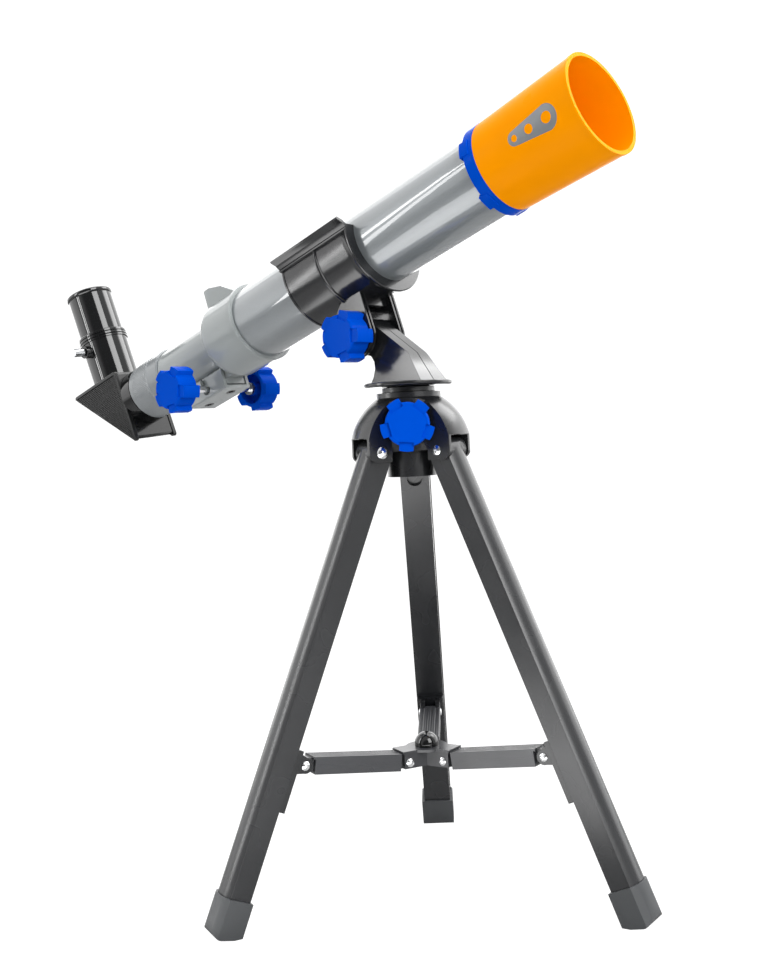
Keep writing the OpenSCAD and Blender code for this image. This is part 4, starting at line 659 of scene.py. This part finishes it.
moulded("diagonal_mirror", silvering, 0.0)
moulded("diagonal_nose", nickel, 0.2, [along_tube])

grained_abs = moulded_plastic("satin moulded ABS, grained black", "#0c0d0e", 0.3, gloss=0.35)
cover_inner, cover_face, bead_base, bead_top, bead_wide, corner = 16.5, 18.6, 18.1, 19.5, 2.3, 2.0
grain_rise, steps = 0.12, 8
# The round at each sharp corner of the triangle is centred this far from the tip.
reach = corner * (1 + math.sqrt(2))
outline = [(x + corner * math.cos(angle), y + corner * math.sin(angle))
           for x, y, first, last in ((corner, corner, 180, 270), (prism_side - reach, corner, 270, 405),
                                     (corner, prism_side - reach, 45, 180))
           for angle in [math.radians(first + (last - first) * i / steps) for i in range(steps + 1)]]


def cover_shape(depth_from, depth_to, only_bead, soft):
    """The cover's outline from one depth to another, or only the L-shaped bead along its edges."""
    shape = bmesh.new()
    shape.faces.new([shape.verts.new((x, y, depth_from)) for x, y in outline])
    if only_bead:
        for normal in ((1, 0, 0), (0, 1, 0)):
            bmesh.ops.bisect_plane(shape, geom=shape.verts[:] + shape.edges[:] + shape.faces[:],
                                   plane_co=(bead_wide, bead_wide, 0), plane_no=normal)
        bmesh.ops.delete(shape, geom=[f for f in shape.faces if min(f.calc_center_median()[:2]) >
                                      bead_wide], context="FACES")
        bmesh.ops.dissolve_faces(shape, faces=shape.faces[:])
    rise = bmesh.ops.extrude_face_region(shape, geom=shape.faces[:])
    moved = [v for v in rise["geom"] if isinstance(v, bmesh.types.BMVert)]
    bmesh.ops.translate(shape, verts=moved, vec=(0, 0, depth_to - depth_from))
    bmesh.ops.recalc_face_normals(shape, faces=shape.faces)
    top = [e for e in shape.edges if min(v.co.z for v in e.verts) > depth_to - 0.01]
    bmesh.ops.bevel(shape, geom=top, offset=soft, segments=3, affect="EDGES", profile=0.5)
    for face in shape.faces:
        face.material_index = int(only_bead)
    return shape


grain_tree, size = new_recipe("moulded dash grain", {
    "Side": "NodeSocketFloat", "Bead Margin": "NodeSocketFloat", "Long Margin": "NodeSocketFloat",
    "Pitch": "NodeSocketFloat", "Row": "NodeSocketFloat", "Dash": "NodeSocketVector",
    "Finish": "NodeSocketMaterial"})
at = add(grain_tree, "ShaderNodeSeparateXYZ", {"Vector": add(grain_tree,
         "GeometryNodeInputPosition")})
size.update({"x": at.outputs["X"], "y": at.outputs["Y"]})
# The points of a lattice are spread to the pitch, each second line half a pitch along.
for name, operation, *terms in (
        ("across", "DIVIDE", "Side", "Pitch"),
        ("columns", "FLOOR", "across"),
        ("last column", "SUBTRACT", "columns", 1.0),
        ("down", "DIVIDE", "Side", "Row"),
        ("lines", "FLOOR", "down"),
        ("last line", "SUBTRACT", "lines", 1.0),
        ("part across", "ADD", "x", 0.5),
        ("exact column", "MULTIPLY", "part across", "last column"),
        ("column", "ROUND", "exact column"),
        ("part down", "ADD", "y", 0.5),
        ("exact line", "MULTIPLY", "part down", "last line"),
        ("line", "ROUND", "exact line"),
        ("odd", "MODULO", "line", 2.0),
        ("along line", "MULTIPLY_ADD", "odd", 0.5, "column"),
        ("X", "MULTIPLY", "along line", "Pitch"),
        ("Y", "MULTIPLY", "line", "Row"),
        ("least", "MINIMUM", "x", "y"),
        ("on bead", "LESS_THAN", "least", "Bead Margin"),
        ("both", "ADD", "x", "y"),
        ("long edge", "SUBTRACT", "Side", "Long Margin"),
        ("beyond", "GREATER_THAN", "both", "long edge"),
        ("off the face", "MAXIMUM", "on bead", "beyond")):
    size[name] = add(grain_tree, "ShaderNodeMath", {i: size.get(t, t) for i, t in enumerate(terms)},
                     operation=operation)
lattice = add(grain_tree, "GeometryNodeMeshGrid", {"Size X": 1.0, "Size Y": 1.0,
              "Vertices X": size["columns"], "Vertices Y": size["lines"]})
spot = add(grain_tree, "ShaderNodeCombineXYZ", {axis: size[axis] for axis in "XY"})
spread = add(grain_tree, "GeometryNodeSetPosition", {"Geometry": lattice, "Position": spot})
face_only = add(grain_tree, "GeometryNodeDeleteGeometry", {"Geometry": spread,
           "Selection": size["off the face"]}, domain="POINT")
# A dash is a ball one unit across, drawn out to its own size.
dash = add(grain_tree, "GeometryNodeMeshUVSphere", {"Radius": 0.5, "Segments": 6, "Rings": 4})
dashes = add(grain_tree, "GeometryNodeInstanceOnPoints", {"Points": face_only, "Instance": dash,
             "Scale": size["Dash"]})
finish_recipe(grain_tree, dashes, size["Finish"])

covers = bmesh.new()
grain = bmesh.new()
for side in (-1, 1):
    cover_frame = diagonal_frame @ Matrix(((-1, 0, 0, prism_x * MM), (0, 0, side, 0),
                                           (0, -1, 0, prism_top * MM), (0, 0, 0, 1)))
    for shape in (cover_shape(cover_inner, cover_face, False, 0.3),
                  cover_shape(bead_base, bead_top, True, 0.4)):
        bmesh.ops.transform(shape, verts=shape.verts, matrix=cover_frame @ Matrix.Scale(MM, 4))
        bmesh.ops.recalc_face_normals(shape, faces=shape.faces)
        mesh = bpy.data.meshes.new("cover_shape")
        shape.to_mesh(mesh)
        covers.from_mesh(mesh)
        shape.free()
    patch = cook("grain_patch", grain_tree, {"Side": prism_side * MM, "Bead Margin": 3.1 * MM,
                 "Long Margin": 0.9 * MM, "Pitch": 2.1 * MM, "Row": 1.15 * MM,
                 "Dash": (1.5 * MM, 0.8 * MM, 1.0 * MM), "Finish": diagonal_abs})
    patch.data.transform(cover_frame @ Matrix.Translation((0, 0, (cover_face + grain_rise) * MM)))
    grain.from_mesh(patch.data)
    bpy.data.objects.remove(patch)
bmesh.ops.recalc_face_normals(grain, faces=grain.faces)
for title, shape, finishes in (("diagonal_covers_moulding", covers, (grained_abs, diagonal_abs)),
                               ("diagonal_grain", grain, (diagonal_abs,))):
    mesh = bpy.data.meshes.new(title)
    shape.to_mesh(mesh)
    shape.free()
    mesh.materials.clear()
    for finish in finishes:
        mesh.materials.append(finish)
    mesh.shade_smooth()
    mesh.set_sharp_from_angle(angle=math.radians(70))
    piece = new_piece(title, mesh)
    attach(piece, "diagonal")
    if shape is covers:
        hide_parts("diagonal_covers")

# ---------------------------------------------------------------- eyepiece
# The holder's sleeve and the eyepiece are lathe-smooth black ABS, the glossiest pieces here, so
# they mirror the lamps as long stripes. A chrome thumbscrew clamps the eyepiece, which holds two
# small coated lenses.
clamp = hinges["eyepiece_clamp_turn"]
through_screw = (Vector(clamp["pos_m"]), Vector(clamp["axis"]))
eyepiece_x = -252.1
up_eyepiece = (diagonal_frame @ Vector((eyepiece_x * MM, 0, 0)), eyepiece_up)
eyepiece_abs = moulded_plastic("mirror-glossy ABS, black", "#0e0f10", 0.07, gloss=0.6, grain=0.5,
                               grain_deep=0.0005, wave_deep=0.004)
moulded("eyepiece_holder", eyepiece_abs, 0.2, [up_eyepiece])
moulded("eyepiece_body", eyepiece_abs, 0.25, [up_eyepiece])
moulded("eyepiece_cap", eyepiece_abs, 0.3, [up_eyepiece])
moulded("thumbscrew", plated("polished chrome plate", "#c2c4c6", 0.16), 0.2, [through_screw])
for name in ("eye_lens", "field_lens"):
    moulded(name, crown, 0.0)
